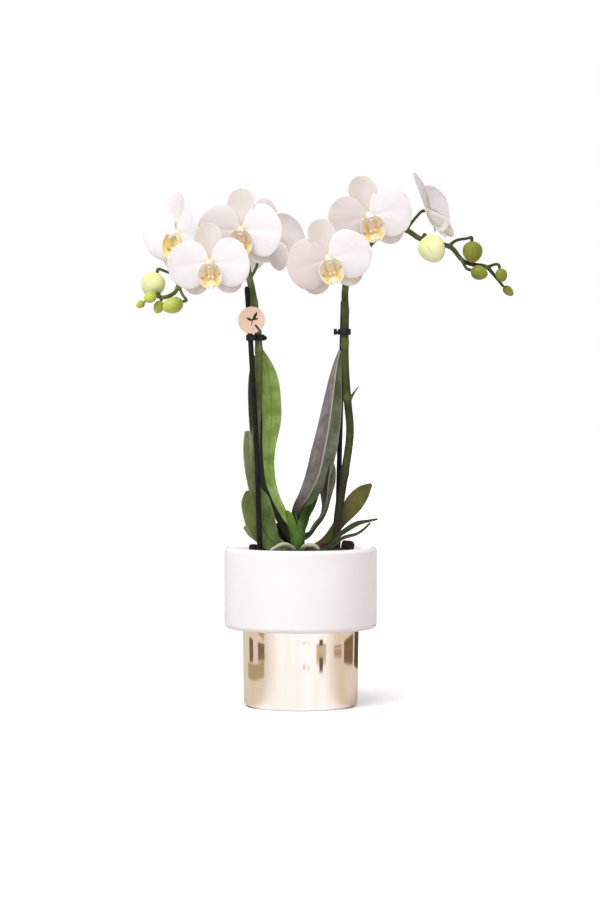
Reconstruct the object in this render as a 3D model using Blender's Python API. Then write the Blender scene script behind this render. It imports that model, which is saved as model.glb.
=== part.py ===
"""A potted moth orchid: two flower spikes tied to stakes, rooted in bark inside a grow pot,
which stands in a two-tier ceramic cover pot.

Metres, +Z up. The viewer's side is -Y. The origin is the centre of the cover pot's underside.
"""

import math

import bmesh
import bpy
from mathutils import Matrix, Vector

# ---- Driving dimensions -------------------------------------------------------------------

GAP = 0.0004  # between pieces that touch

RIM_HEIGHT = 0.1185
DRUM_BOTTOM = 0.058
DRUM_RADIUS = 0.0567
FOOT_TOP_RADIUS = 0.0434
FOOT_BASE_RADIUS = 0.0421
POT_WALL = 0.0045
POT_FLOOR = 0.006
DRUM_CORNER = 0.004
FOOT_CORNER = 0.004

GROW_POT_BASE_RADIUS = 0.033
GROW_POT_RIM_RADIUS = 0.0418
GROW_POT_HEIGHT = 0.104
GROW_POT_WALL = 0.001
GROW_POT_LIP = 0.0011
DRAIN_HOLE_RADIUS = 0.003
DRAIN_HOLE_CIRCLE = 0.019
DRAIN_HOLES = 5

BARK_EDGE_HEIGHT = 0.1080
BARK_MIDDLE_HEIGHT = 0.1120
BARK_LUMP = 0.0007

STAKE_RADIUS = 0.0016
STAKE_BOTTOM = 0.054
CLIP_HEIGHT = 0.0050
CLIP_WALL = 0.0015

CROWN_CENTRE = (-0.0027, 0.0)
CROWN_FOOT = 0.1130
CROWN_TOP = 0.1335
CROWN_RADIUS = 0.0062

SEPAL_LENGTH = 0.0295
SEPAL_HALF_WIDTH = 0.0102
PETAL_LENGTH = 0.0315
PETAL_HALF_WIDTH = 0.0172
BLADE_THICKNESS = 0.0011
LATERAL_SEPAL_ANGLE = 142  # degrees from the dorsal sepal
PETAL_ANGLE = 88
PETAL_BEND = 0.0060  # the tips come forward
SEPAL_BEND = -0.0025  # the tips fall back
# A flower that has just opened is cupped: these parts come forward.
CUPPED_SEPAL_BEND = 0.0085
CUPPED_PETAL_BEND = 0.0160
PETAL_CUP = 0.06  # how far the edges rise, as a share of the half width
SEPAL_CUP = 0.10

LEAF_THICKNESS = 0.0017
LEAF_STEPS = 4  # facets across a leaf

# ---- Where things stand -------------------------------------------------------------------

# Points up each stake; below the first one it runs on straight into the bark.
LEFT_STAKE = [
    (-0.0304, -0.0160, 0.1220), (-0.0312, -0.0153, 0.1530), (-0.0320, -0.0146, 0.1820),
    (-0.0343, -0.0137, 0.2270), (-0.0369, -0.0128, 0.2713), (-0.0396, -0.0120, 0.3110),
]
RIGHT_STAKE = [(0.0273, 0.0120, 0.120), (0.0315, 0.0040, 0.301)]

# Each route is a list of (x, y, z, radius), from the root end to the tip.
LEFT_SPIKE = [
    (-0.0270, 0.0030, 0.1085, 0.0030),
    (-0.0290, 0.0020, 0.1220, 0.0031),
    (-0.0315, 0.0010, 0.1500, 0.0030),
    (-0.0332, -0.0030, 0.1750, 0.0030),
    (-0.0330, -0.0052, 0.2000, 0.0029),
    (-0.0315, -0.0055, 0.2270, 0.0029),
    (-0.0310, -0.0050, 0.2670, 0.0028),
    (-0.0330, -0.0045, 0.2900, 0.0027),
    (-0.0360, -0.0030, 0.3090, 0.0026),
    (-0.0384, 0.0000, 0.3190, 0.0026),
    (-0.0405, 0.0020, 0.3290, 0.0025),
    (-0.0465, 0.0050, 0.3380, 0.0023),
    (-0.0560, 0.0080, 0.3430, 0.0021),
    (-0.0690, 0.0100, 0.3430, 0.0020),
    (-0.0800, 0.0120, 0.3350, 0.0019),
    (-0.0875, 0.0110, 0.3230, 0.0018),
    (-0.0905, 0.0070, 0.3130, 0.0017),
    (-0.0930, 0.0010, 0.3067, 0.0016),
    (-0.1000, -0.0060, 0.3030, 0.0016),
    (-0.1065, -0.0100, 0.3035, 0.0014),
    (-0.1115, -0.0110, 0.3015, 0.0012),
    (-0.1150, -0.0120, 0.2995, 0.0010),
]
RIGHT_SPIKE = [
    (0.0250, 0.0020, 0.1085, 0.0031),
    (0.0265, 0.0020, 0.1200, 0.0032),
    (0.0275, 0.0010, 0.1380, 0.0032),
    (0.0298, 0.0000, 0.1560, 0.0032),
    (0.0324, -0.0020, 0.1720, 0.0031),
    (0.0357, -0.0040, 0.1935, 0.0030),
    (0.0364, -0.0050, 0.2085, 0.0029),
    (0.0346, -0.0060, 0.2270, 0.0029),
    (0.0331, -0.0060, 0.2490, 0.0028),
    (0.0328, -0.0060, 0.2700, 0.0027),
    (0.0331, -0.0060, 0.2900, 0.0027),
    (0.0328, -0.0045, 0.3080, 0.0026),
    (0.0365, 0.0000, 0.3230, 0.0025),
    (0.0440, 0.0030, 0.3335, 0.0024),
    (0.0506, 0.0050, 0.3415, 0.0023),
    (0.0590, 0.0070, 0.3498, 0.0022),
    (0.0700, 0.0060, 0.3543, 0.0021),
    (0.0795, 0.0040, 0.3520, 0.0020),
    (0.0876, 0.0020, 0.3467, 0.0020),
    (0.0970, 0.0015, 0.3438, 0.0019),
    (0.1070, 0.0010, 0.3415, 0.0019),
    (0.1127, 0.0000, 0.3385, 0.0018),
    (0.1194, 0.0000, 0.3304, 0.0017),
    (0.1268, 0.0000, 0.3274, 0.0017),
    (0.1356, 0.0000, 0.3260, 0.0016),
    (0.1393, 0.0000, 0.3238, 0.0015),
    (0.1455, 0.0000, 0.3164, 0.0012),
    (0.1500, 0.0000, 0.3108, 0.0010),
]

PEDICEL_RADIUS = 0.0014
STALK_RUN_UP = 0.0025
# Extra points between the spike and the flower, then the flower's own place and direction:
# centre, yaw (0 faces the viewer, + turns to +X), pitch (+ looks up), roll (+ tips to +X), size.
FLOWERS = {
    "flower_1": dict(
        stem=[(-0.0740, 0.0105, 0.3405), (-0.0820, 0.0110, 0.3460)],
        centre=(-0.0895, 0.0030, 0.3505), yaw=-62, pitch=-2, roll=0, size=1.05,
    ),
    "flower_2": dict(
        stem=[(-0.0740, 0.0105, 0.3395), (-0.0735, -0.0030, 0.3325), (-0.0700, -0.0160, 0.3290)],
        centre=(-0.0660, -0.0300, 0.3285), yaw=-7, pitch=-8, roll=-3, size=0.97,
    ),
    "flower_3": dict(
        stem=[(-0.0480, 0.0055, 0.3390), (-0.0470, 0.0030, 0.3470)],
        centre=(-0.0432, -0.0070, 0.3530), yaw=-13, pitch=-5, roll=0, size=1.03,
    ),
    "flower_4": dict(
        stem=[(-0.0384, 0.0000, 0.3160), (-0.0368, 0.0020, 0.3280), (-0.0350, 0.0035, 0.3420)],
        centre=(-0.0258, 0.0150, 0.3475), yaw=142, pitch=4, roll=0, size=1.0,
    ),
    "flower_5": dict(
        stem=[(0.0330, -0.0050, 0.3090), (0.0290, -0.0120, 0.3210)],
        centre=(0.0200, -0.0260, 0.3315), yaw=3, pitch=-8, roll=-15, size=1.0,
    ),
    "flower_6": dict(
        stem=[(0.0545, 0.0060, 0.3460), (0.0560, 0.0040, 0.3550)],
        centre=(0.0500, -0.0120, 0.3630), yaw=7, pitch=-6, roll=-15, size=1.02,
    ),
    "flower_7": dict(
        stem=[(0.0775, 0.0045, 0.3525), (0.0835, 0.0015, 0.3600)],
        centre=(0.0942, 0.0020, 0.3680), yaw=98, pitch=20, roll=0, size=1.0, cupped=True,
    ),
}
LEFT_FLOWERS = ("flower_1", "flower_2", "flower_3", "flower_4")

# Stalk points from the spike to the bud's foot, the way the bud points, its length and width.
BUDS = {
    "bud_left_1": dict(
        stem=[(-0.0893, 0.0085, 0.3165), (-0.0945, 0.0040, 0.3198),
              (-0.1010, -0.0010, 0.3226), (-0.1060, -0.0040, 0.3210)],
        points=(-0.32, -0.02, -1.0), length=0.0190, width=0.0180,
    ),
    "bud_left_2": dict(
        stem=[(-0.0907, 0.0065, 0.3125), (-0.0872, -0.0060, 0.3050), (-0.0868, -0.0140, 0.2998)],
        points=(-0.93, -0.25, -0.34), length=0.0160, width=0.0122,
    ),
    "bud_left_3": dict(
        stem=[(-0.1040, -0.0096, 0.3033), (-0.1068, -0.0150, 0.3050)],
        points=(-0.70, -0.45, -0.40), length=0.0100, width=0.0086,
    ),
    "bud_left_4": dict(
        stem=[(-0.1010, -0.0093, 0.3030), (-0.1030, -0.0085, 0.3002)],
        points=(-0.35, 0.05, -0.90), length=0.0098, width=0.0080,
    ),
    "bud_left_5": dict(
        stem=[], points=(-0.85, -0.10, -0.50), length=0.0070, width=0.0056,
    ),
    "bud_right_1": dict(
        stem=[(0.0870, 0.0020, 0.3470), (0.0885, -0.0040, 0.3500), (0.0925, -0.0088, 0.3480)],
        points=(0.42, -0.42, -0.82), length=0.0215, width=0.0198,
    ),
    "bud_right_2": dict(
        stem=[(0.1090, 0.0010, 0.3405), (0.1150, -0.0005, 0.3450),
              (0.1225, -0.0035, 0.3463), (0.1262, -0.0050, 0.3442)],
        points=(0.05, -0.05, -1.0), length=0.0158, width=0.0150,
    ),
    "bud_right_3": dict(
        stem=[(0.1188, 0.0000, 0.3312), (0.1215, -0.0040, 0.3255), (0.1256, -0.0076, 0.3230)],
        points=(0.95, -0.10, -0.30), length=0.0128, width=0.0108,
    ),
    "bud_right_4": dict(
        stem=[(0.1375, 0.0000, 0.3250), (0.1430, -0.0030, 0.3272), (0.1468, -0.0062, 0.3240)],
        points=(0.25, -0.05, -1.0), length=0.0100, width=0.0088,
    ),
    "bud_right_5": dict(
        stem=[], points=(0.74, 0.0, -0.67), length=0.0094, width=0.0066,
    ),
}

# Leaves: midrib points from the crown outwards, each with the half width there, then the way the
# upper face looks at the base and at the tip, and how much the two halves fold up.
LEAVES = {
    "leaf_left_1": dict(
        rib=[(-0.0082, -0.0010, 0.1362, 0.0021), (-0.0108, -0.0015, 0.1400, 0.0025),
             (-0.0143, -0.0016, 0.1468, 0.0029), (-0.0184, -0.0014, 0.1552, 0.0032),
             (-0.0220, -0.0008, 0.1664, 0.0038), (-0.0237, 0.0000, 0.1815, 0.0042),
             (-0.0232, 0.0008, 0.1966, 0.0053), (-0.0216, 0.0014, 0.2117, 0.0069),
             (-0.0219, 0.0018, 0.2268, 0.0072), (-0.0230, 0.0020, 0.2420, 0.0064),
             (-0.0258, 0.0022, 0.2545, 0.0040), (-0.0284, 0.0023, 0.2640, 0.0008)],
        base_faces=(0.35, -1.0, 0.0), tip_faces=(0.15, -1.0, 0.0), fold=0.22,
    ),
    "leaf_left_2": dict(
        rib=[(-0.0095, 0.0050, 0.1262, 0.0026), (-0.0138, 0.0090, 0.1360, 0.0036),
             (-0.0176, 0.0125, 0.1445, 0.0044), (-0.0215, 0.0150, 0.1535, 0.0050),
             (-0.0258, 0.0166, 0.1645, 0.0054), (-0.0295, 0.0172, 0.1790, 0.0054),
             (-0.0320, 0.0170, 0.1990, 0.0058), (-0.0334, 0.0158, 0.2240, 0.0060),
             (-0.0340, 0.0142, 0.2440, 0.0048), (-0.0343, 0.0128, 0.2600, 0.0010)],
        base_faces=(0.5, 1.0, 0.2), tip_faces=(0.2, 1.0, 0.0), fold=0.25,
    ),
    "leaf_left_3": dict(
        rib=[(-0.0105, 0.0055, 0.1175, 0.0025), (-0.0200, 0.0100, 0.1245, 0.0030),
             (-0.0280, 0.0118, 0.1400, 0.0038), (-0.0335, 0.0122, 0.1560, 0.0044),
             (-0.0370, 0.0118, 0.1740, 0.0048), (-0.0388, 0.0110, 0.1910, 0.0045),
             (-0.0394, 0.0105, 0.2040, 0.0022)],
        base_faces=(0.3, -1.0, 0.3), tip_faces=(0.4, -1.0, 0.0), fold=0.20,
    ),
    "leaf_left_4": dict(
        rib=[(-0.0122, -0.0076, 0.1176, 0.0030), (-0.0170, -0.0090, 0.1198, 0.0052),
             (-0.0222, -0.0100, 0.1236, 0.0080), (-0.0266, -0.0102, 0.1298, 0.0100),
             (-0.0298, -0.0100, 0.1375, 0.0112), (-0.0322, -0.0096, 0.1460, 0.0112),
             (-0.0340, -0.0090, 0.1540, 0.0102), (-0.0354, -0.0086, 0.1610, 0.0060)],
        base_faces=(0.2, -1.0, 0.3), tip_faces=(0.0, -1.0, 0.1), fold=0.10,
    ),
    "leaf_left_5": dict(
        rib=[(-0.0115, -0.0025, 0.1168, 0.0020), (-0.0200, -0.0040, 0.1195, 0.0034),
             (-0.0290, -0.0050, 0.1248, 0.0042), (-0.0365, -0.0055, 0.1300, 0.0040),
             (-0.0420, -0.0055, 0.1335, 0.0012)],
        base_faces=(0.1, -1.0, 0.3), tip_faces=(0.1, -1.0, 0.2), fold=0.10,
    ),
    "leaf_right_1": dict(
        rib=[(-0.0040, -0.0010, 0.1370, 0.0024), (-0.0062, -0.0014, 0.1440, 0.0034),
             (-0.0036, -0.0018, 0.1513, 0.0052), (0.0001, -0.0020, 0.1589, 0.0068),
             (0.0048, -0.0022, 0.1740, 0.0086), (0.0082, -0.0022, 0.1890, 0.0090),
             (0.0124, -0.0018, 0.2042, 0.0086), (0.0172, -0.0010, 0.2268, 0.0070),
             (0.0220, -0.0002, 0.2474, 0.0042), (0.0262, 0.0004, 0.2580, 0.0008)],
        base_faces=(1.0, -0.1, 0.0), tip_faces=(0.88, -0.47, 0.0), fold=1.2,
    ),
    "leaf_right_2": dict(
        rib=[(0.0058, 0.0058, 0.1278, 0.0020), (0.0100, 0.0082, 0.1345, 0.0024),
             (0.0148, 0.0100, 0.1405, 0.0026), (0.0178, 0.0108, 0.1475, 0.0032),
             (0.0177, 0.0114, 0.1550, 0.0052), (0.0166, 0.0116, 0.1620, 0.0068),
             (0.0172, 0.0116, 0.1700, 0.0070), (0.0192, 0.0114, 0.1785, 0.0056),
             (0.0218, 0.0108, 0.1870, 0.0010)],
        base_faces=(0.97, -0.25, 0.1), tip_faces=(0.97, -0.25, 0.0), fold=1.0,
    ),
    "leaf_right_3": dict(
        rib=[(0.0016, 0.0040, 0.1358, 0.0030), (0.0030, 0.0054, 0.1425, 0.0042),
             (0.0062, 0.0068, 0.1500, 0.0048), (0.0096, 0.0078, 0.1585, 0.0044),
             (0.0126, 0.0082, 0.1660, 0.0030), (0.0146, 0.0084, 0.1710, 0.0008)],
        base_faces=(-0.3, -1.0, 0.2), tip_faces=(-0.2, -1.0, 0.0), fold=0.15,
    ),
    "leaf_right_4": dict(
        rib=[(0.0042, 0.0062, 0.1178, 0.0020), (0.0120, 0.0078, 0.1185, 0.0026),
             (0.0210, 0.0078, 0.1250, 0.0033), (0.0300, 0.0070, 0.1370, 0.0044),
             (0.0350, 0.0060, 0.1437, 0.0058), (0.0394, 0.0050, 0.1500, 0.0068),
             (0.0436, 0.0040, 0.1556, 0.0064), (0.0475, 0.0030, 0.1600, 0.0048),
             (0.0526, 0.0020, 0.1645, 0.0010)],
        base_faces=(0.1, -1.0, 0.3), tip_faces=(0.2, -1.0, 0.0), fold=0.10,
    ),
    "leaf_right_5": dict(
        rib=[(0.0066, -0.0010, 0.1162, 0.0016), (0.0140, -0.0040, 0.1174, 0.0018),
             (0.0212, -0.0058, 0.1208, 0.0019), (0.0278, -0.0056, 0.1268, 0.0021),
             (0.0346, -0.0050, 0.1316, 0.0024), (0.0422, -0.0044, 0.1358, 0.0023),
             (0.0497, -0.0036, 0.1377, 0.0013), (0.0570, -0.0030, 0.1394, 0.0005)],
        base_faces=(-0.4, -0.7, 0.8), tip_faces=(-0.3, -0.6, 1.0), fold=0.30,
    ),
    "leaf_right_6": dict(
        rib=[(0.0062, -0.0090, 0.1160, 0.0016), (0.0160, -0.0125, 0.1168, 0.0016),
             (0.0240, -0.0138, 0.1200, 0.0017), (0.0299, -0.0140, 0.1250, 0.0018),
             (0.0352, -0.0142, 0.1268, 0.0018), (0.0411, -0.0142, 0.1286, 0.0017),
             (0.0464, -0.0140, 0.1323, 0.0013), (0.0512, -0.0134, 0.1372, 0.0006)],
        base_faces=(-0.3, -0.6, 1.0), tip_faces=(-0.7, -0.3, 0.7), fold=0.30,
    ),
}

ROOTS = {
    "aerial_root_1": [
        (-0.0225, -0.0245, 0.1165, 0.0016), (-0.0185, -0.0260, 0.1192, 0.0020),
        (-0.0135, -0.0260, 0.1215, 0.0023), (-0.0085, -0.0230, 0.1205, 0.0022),
        (-0.0045, -0.0150, 0.1165, 0.0021),
    ],
    "aerial_root_2": [
        (0.0010, -0.0115, 0.1160, 0.0020), (0.0015, -0.0190, 0.1185, 0.0022),
        (0.0045, -0.0250, 0.1208, 0.0023), (0.0095, -0.0265, 0.1210, 0.0022),
        (0.0135, -0.0245, 0.1178, 0.0017),
    ],
    "aerial_root_3": [
        (-0.0020, 0.0105, 0.1158, 0.0020), (0.0050, 0.0200, 0.1175, 0.0022),
        (0.0140, 0.0270, 0.1165, 0.0021), (0.0240, 0.0290, 0.1140, 0.0017),
    ],
}

# Centre, size and turn (degrees about X, Y and Z) of the loose bark pieces on top.
BARK_CHIPS = {
    "bark_chip_1": ((-0.0352, 0.0020, 0.1165), (0.0045, 0.0070, 0.0055), (8, -6, 20)),
    "bark_chip_2": ((0.0352, -0.0020, 0.1175), (0.0058, 0.0085, 0.0085), (4, 8, -15)),
    "bark_chip_3": ((-0.0135, 0.0215, 0.1235), (0.0090, 0.0055, 0.0190), (-6, -12, 25)),
}

TAG_CENTRE = (-0.0362, -0.0170, 0.2862)
TAG_RADIUS = 0.0100
TAG_THICKNESS = 0.0010
TAG_TILT = 14  # degrees about its rising diagonal, so that its lower right comes forward

# ---- Materials ----------------------------------------------------------------------------

WHITE_GLAZE = ("white_glaze", (0.90, 0.88, 0.88), 0.12, 0.0)
CLEAR_PLASTIC = ("grow_pot_plastic", (0.42, 0.36, 0.30), 0.30, 0.0)
BARK = ("bark", (0.090, 0.045, 0.030), 0.90, 0.0)
LEAF_GREEN = ("leaf_green", (0.13, 0.27, 0.05), 0.38, 0.0)
STEM_GREEN = ("stem_green", (0.11, 0.20, 0.05), 0.42, 0.0)
BUD_GREEN = ("bud_green", (0.46, 0.58, 0.16), 0.45, 0.0)
PETAL_WHITE = ("petal_white", (0.88, 0.84, 0.84), 0.55, 0.0)
LIP_YELLOW = ("lip_yellow", (0.90, 0.68, 0.22), 0.50, 0.0)
ROOT_SILVER = ("root_silver", (0.62, 0.62, 0.46), 0.75, 0.0)
STAKE_BROWN = ("stake_plastic", (0.045, 0.036, 0.033), 0.45, 0.0)
CLIP_BLACK = ("clip_plastic", (0.015, 0.015, 0.020), 0.35, 0.0)
TAG_WOOD = ("tag_wood", (0.80, 0.52, 0.36), 0.65, 0.0)


def material(finish):
    """The Principled material of a finish, made on first use."""
    name, colour, roughness, metallic = finish
    found = bpy.data.materials.get(name)
    if found:
        return found
    made = bpy.data.materials.new(name)
    made.use_nodes = True
    shader = made.node_tree.nodes["Principled BSDF"]
    shader.inputs["Base Color"].default_value = (*colour, 1.0)
    shader.inputs["Roughness"].default_value = roughness
    shader.inputs["Metallic"].default_value = metallic
    return made


# ---- Mesh helpers -------------------------------------------------------------------------

SHARP_ANGLE = math.radians(40)


def add_object(name, mesh, finish):
    """An object in the scene, shaded smooth except along sharp edges."""
    if finish:
        mesh.materials.clear()
        mesh.materials.append(material(finish))
    mesh.shade_smooth()
    mesh.set_sharp_from_angle(angle=SHARP_ANGLE)
    obj = bpy.data.objects.new(name, mesh)
    bpy.context.scene.collection.objects.link(obj)
    return obj


def helper_object(name, mesh):
    """A cutter or a piece to be joined: it isn't part of the model itself."""
    obj = add_object(name, mesh, None)
    obj.hide_render = True
    obj.display_type = "WIRE"
    return obj


def apply_boolean(obj, other, operation):
    modifier = obj.modifiers.new(operation.lower(), "BOOLEAN")
    modifier.operation = operation
    modifier.object = other


def mesh_from_rings(name, rings):
    """A closed skin through equal rings of points, with both ends capped."""
    shape = bmesh.new()
    loops = [[shape.verts.new(point) for point in ring] for ring in rings]
    count = len(loops[0])
    for lower, upper in zip(loops, loops[1:]):
        for i in range(count):
            j = (i + 1) % count
            shape.faces.new((lower[i], lower[j], upper[j], upper[i]))
    shape.faces.new(reversed(loops[0]))
    shape.faces.new(loops[-1])
    bmesh.ops.recalc_face_normals(shape, faces=shape.faces)
    mesh = bpy.data.meshes.new(name)
    shape.to_mesh(mesh)
    shape.free()
    return mesh


def spline(points, per_span):
    """Points on a smooth curve through the given ones, which may carry a radius as well."""
    points = [Vector(p) for p in points]
    if len(points) < 3:
        return points
    padded = [2 * points[0] - points[1], *points, 2 * points[-1] - points[-2]]
    found = []
    for a, b, c, d in zip(padded, padded[1:], padded[2:], padded[3:]):
        for step in range(per_span):
            t = step / per_span
            found.append(
                0.5 * (2 * b + (c - a) * t + (2 * a - 5 * b + 4 * c - d) * t**2
                       + (3 * b - a - 3 * c + d) * t**3)
            )
    return [*found, points[-1]]


def tangents(points):
    count = len(points)
    ends = [(points[max(i - 1, 0)], points[min(i + 1, count - 1)]) for i in range(count)]
    return [(after - before).normalized() for before, after in ends]


def tube_mesh(name, route, sides=8, grow=0.0):
    """A round tube along (x, y, z, radius) points. Grow makes it fatter, for a cutter."""
    centres = [Vector(p[:3]) for p in route]
    directions = tangents(centres)
    across = directions[0].orthogonal().normalized()
    rings = []
    for centre, along, point in zip(centres, directions, route):
        across = (across - along * across.dot(along)).normalized()
        side = along.cross(across)
        radius = point[3] + grow
        angles = [2 * math.pi * i / sides for i in range(sides)]
        rings.append([centre + radius * (math.cos(a) * across + math.sin(a) * side) for a in angles])
    return mesh_from_rings(name, rings)


def blade_mesh(name, midline, half_widths, normals, fold, thickness, steps_across):
    """A thin closed blade: its halves rise from the midline by fold times the half width."""
    directions = tangents(midline)
    shares = [-1 + 2 * i / steps_across for i in range(steps_across + 1)]
    rings = []
    for centre, along, half_width, normal in zip(midline, directions, half_widths, normals):
        normal = (normal - along * normal.dot(along)).normalized()
        side = normal.cross(along)
        upper, lower = [], []
        for s in shares:
            top = centre + side * (s * half_width) + normal * (fold * half_width * s * s)
            upper.append(top)
            lower.append(top - normal * thickness * (1 - 0.5 * s * s))
        rings.append(upper + lower[::-1])
    return mesh_from_rings(name, rings)


def turned_object(name, profile, steps, finish):
    """A shape of revolution about Z from a profile that runs down its outer side."""
    mesh = bpy.data.meshes.new(name)
    points = [(radius, 0.0, height) for radius, height in profile]
    mesh.from_pydata(points, [(i, i + 1) for i in range(len(points) - 1)], [])
    obj = add_object(name, mesh, finish)
    screw = obj.modifiers.new("turn", "SCREW")
    screw.steps = screw.render_steps = steps
    screw.use_merge_vertices = True
    screw.merge_threshold = 0.00005
    screw.use_smooth_shade = True
    return obj


def arc(centre_radius, centre_height, radius, start, end, steps):
    """Profile points on an arc, with angles in degrees from +R towards +Z."""
    found = []
    for i in range(steps + 1):
        angle = math.radians(start + (end - start) * i / steps)
        found.append((centre_radius + radius * math.cos(angle), centre_height + radius * math.sin(angle)))
    return found


# ---- Pots ---------------------------------------------------------------------------------

POT_STEPS = 40


def make_cover_pot():
    """One glazed ceramic piece: a wide drum on a narrower foot, hollow all the way down."""
    half_wall = POT_WALL / 2
    shelf = DRUM_BOTTOM + POT_WALL
    profile = [
        (0, POT_FLOOR),
        (FOOT_BASE_RADIUS - POT_WALL, POT_FLOOR),
        (FOOT_TOP_RADIUS - POT_WALL, shelf),
        (DRUM_RADIUS - POT_WALL, shelf),
        *arc(DRUM_RADIUS - half_wall, RIM_HEIGHT - half_wall, half_wall, 180, 0, 6),
        *arc(DRUM_RADIUS - DRUM_CORNER, DRUM_BOTTOM + DRUM_CORNER, DRUM_CORNER, 0, -90, 3),
        (FOOT_TOP_RADIUS, DRUM_BOTTOM),
        *arc(FOOT_BASE_RADIUS - FOOT_CORNER, FOOT_CORNER, FOOT_CORNER, 0, -90, 3),
        (0, 0),
    ]
    turned_object("cover_pot", profile, POT_STEPS, WHITE_GLAZE)


def grow_pot_radius(height):
    """Outer radius of the tapered grow pot at a height above the ground."""
    share = (height - POT_FLOOR) / GROW_POT_HEIGHT
    return GROW_POT_BASE_RADIUS + (GROW_POT_RIM_RADIUS - GROW_POT_BASE_RADIUS) * share


def make_grow_pot():
    """A thin tapered plastic pot with a rolled lip and drain holes, standing in the cover pot."""
    base = POT_FLOOR + GAP
    top = base + GROW_POT_HEIGHT
    lip = GROW_POT_RIM_RADIUS + GROW_POT_LIP
    profile = [
        (0, base + GROW_POT_WALL),
        (GROW_POT_BASE_RADIUS - GROW_POT_WALL, base + GROW_POT_WALL),
        (GROW_POT_RIM_RADIUS - GROW_POT_WALL, top),
        (lip, top),
        (lip, top - 2 * GROW_POT_LIP),
        (GROW_POT_RIM_RADIUS, top - 2 * GROW_POT_LIP),
        (GROW_POT_BASE_RADIUS, base),
        (0, base),
    ]
    pot = turned_object("grow_pot", profile, 32, CLEAR_PLASTIC)
    for i in range(DRAIN_HOLES):
        angle = 2 * math.pi * (i + 0.3) / DRAIN_HOLES
        centre = DRAIN_HOLE_CIRCLE * Vector((math.cos(angle), math.sin(angle), 0))
        route = [(centre.x, centre.y, base + z, DRAIN_HOLE_RADIUS) for z in (-0.003, 0.004)]
        hole = helper_object(f"drain_hole_{i}", tube_mesh("drain_hole", route))
        apply_boolean(pot, hole, "DIFFERENCE")


# ---- Bark ---------------------------------------------------------------------------------


def make_bark_fill(pockets):
    """The bark that fills the grow pot, lumpy on top, with a pocket round each thing it holds."""
    bottom = POT_FLOOR + GAP + GROW_POT_WALL + GAP
    inset = GROW_POT_WALL + GAP
    steps = 30
    outer = grow_pot_radius(BARK_EDGE_HEIGHT) - inset
    rings = [(grow_pot_radius(bottom) - inset, bottom), (outer, BARK_EDGE_HEIGHT)]
    for share in (0.8, 0.55, 0.3, 0.08):
        rise = (BARK_MIDDLE_HEIGHT - BARK_EDGE_HEIGHT) * (1 - share**2)
        rings.append((outer * share, BARK_EDGE_HEIGHT + rise))
    points = []
    for index, (radius, height) in enumerate(rings):
        lump = BARK_LUMP if index > 1 else 0.0
        turns = [2 * math.pi * i / steps for i in range(steps)]
        points.append([
            Vector((radius * math.cos(a), radius * math.sin(a),
                    height + lump * math.sin(5 * a + 2 * index) * math.cos(3 * a)))
            for a in turns
        ])
    bark = add_object("bark_fill", mesh_from_rings("bark_fill", points), BARK)
    for pocket in pockets:
        apply_boolean(bark, pocket, "DIFFERENCE")


def make_bark_chips():
    """Loose bark pieces: blocks whose ends are pinched so that no two faces are parallel."""
    for name, (centre, size, turn) in BARK_CHIPS.items():
        shape = bmesh.new()
        bmesh.ops.create_cube(shape, size=1.0)
        for vert in shape.verts:
            pinch = 1.0 - 0.35 * (vert.co.z > 0) - 0.15 * (vert.co.x > 0)
            vert.co = Vector((vert.co.x * size[0], vert.co.y * size[1] * pinch, vert.co.z * size[2]))
        bmesh.ops.bevel(shape, geom=shape.edges, offset=0.0007, segments=1, affect="EDGES")
        mesh = bpy.data.meshes.new(name)
        shape.to_mesh(mesh)
        shape.free()
        chip = add_object(name, mesh, BARK)
        chip.location = centre
        chip.rotation_euler = [math.radians(a) for a in turn]


# ---- Stakes, clips and tag ----------------------------------------------------------------


def stake_route(stake, grow=0.0):
    """The stake from deep in the bark to its top, as a route for tube_mesh."""
    first, second = Vector(stake[0]), Vector(stake[1])
    direction = (second - first) / (second.z - first.z)
    foot = first + direction * (STAKE_BOTTOM - grow - first.z)
    return [(*point, STAKE_RADIUS) for point in (foot, *stake)]


def stake_at(stake, height):
    """The stake's centre at a height."""
    for low, high in zip(stake, stake[1:]):
        if low[2] <= height <= high[2]:
            share = (height - low[2]) / (high[2] - low[2])
            return Vector(low).lerp(Vector(high), share)
    raise ValueError("the height is off the stake")


def spike_at(route, height):
    """The point (x, y, z) and the radius of a spike's upright part at a height."""
    for low, high in zip(route, route[1:]):
        if low[2] <= height <= high[2]:
            share = (height - low[2]) / (high[2] - low[2])
            return Vector(low[:3]).lerp(Vector(high[:3]), share), low[3]
    raise ValueError("the height is off the spike's upright part")


def make_clip(name, stake, spike, height, tab_end_x):
    """A plastic clip: a ring round the stake, a ring round the stem, a bridge and a finger tab."""
    post = stake_at(stake, height)
    stem, stem_radius = spike_at(spike, height)
    half = CLIP_HEIGHT / 2
    grips = [(post, STAKE_RADIUS), (stem, stem_radius)]

    def upright(centre, radius, reach):
        return [(centre.x, centre.y, height + z, radius) for z in (-reach, reach)]

    body = tube_mesh(name, upright(post, STAKE_RADIUS + GAP + CLIP_WALL, half), sides=16)
    clip = add_object(name, body, CLIP_BLACK)
    ring = tube_mesh("ring", upright(stem, stem_radius + GAP + CLIP_WALL, half), sides=16)
    apply_boolean(clip, helper_object(name + "_ring", ring), "UNION")
    tab_end = Vector((tab_end_x, stem.y, height))
    for index, (start, end) in enumerate(((post, stem), (stem, tab_end))):
        start = Vector((start.x, start.y, height))
        end = Vector((end.x, end.y, height))
        bar = tube_mesh("bar", [(*start, 0.0018), (*end, 0.0018)], sides=6)
        apply_boolean(clip, helper_object(f"{name}_bar_{index}", bar), "UNION")
    for index, (centre, radius) in enumerate(grips):
        bore = tube_mesh("bore", upright(centre, radius + GAP, 2 * half), sides=16)
        apply_boolean(clip, helper_object(f"{name}_bore_{index}", bore), "DIFFERENCE")


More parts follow.
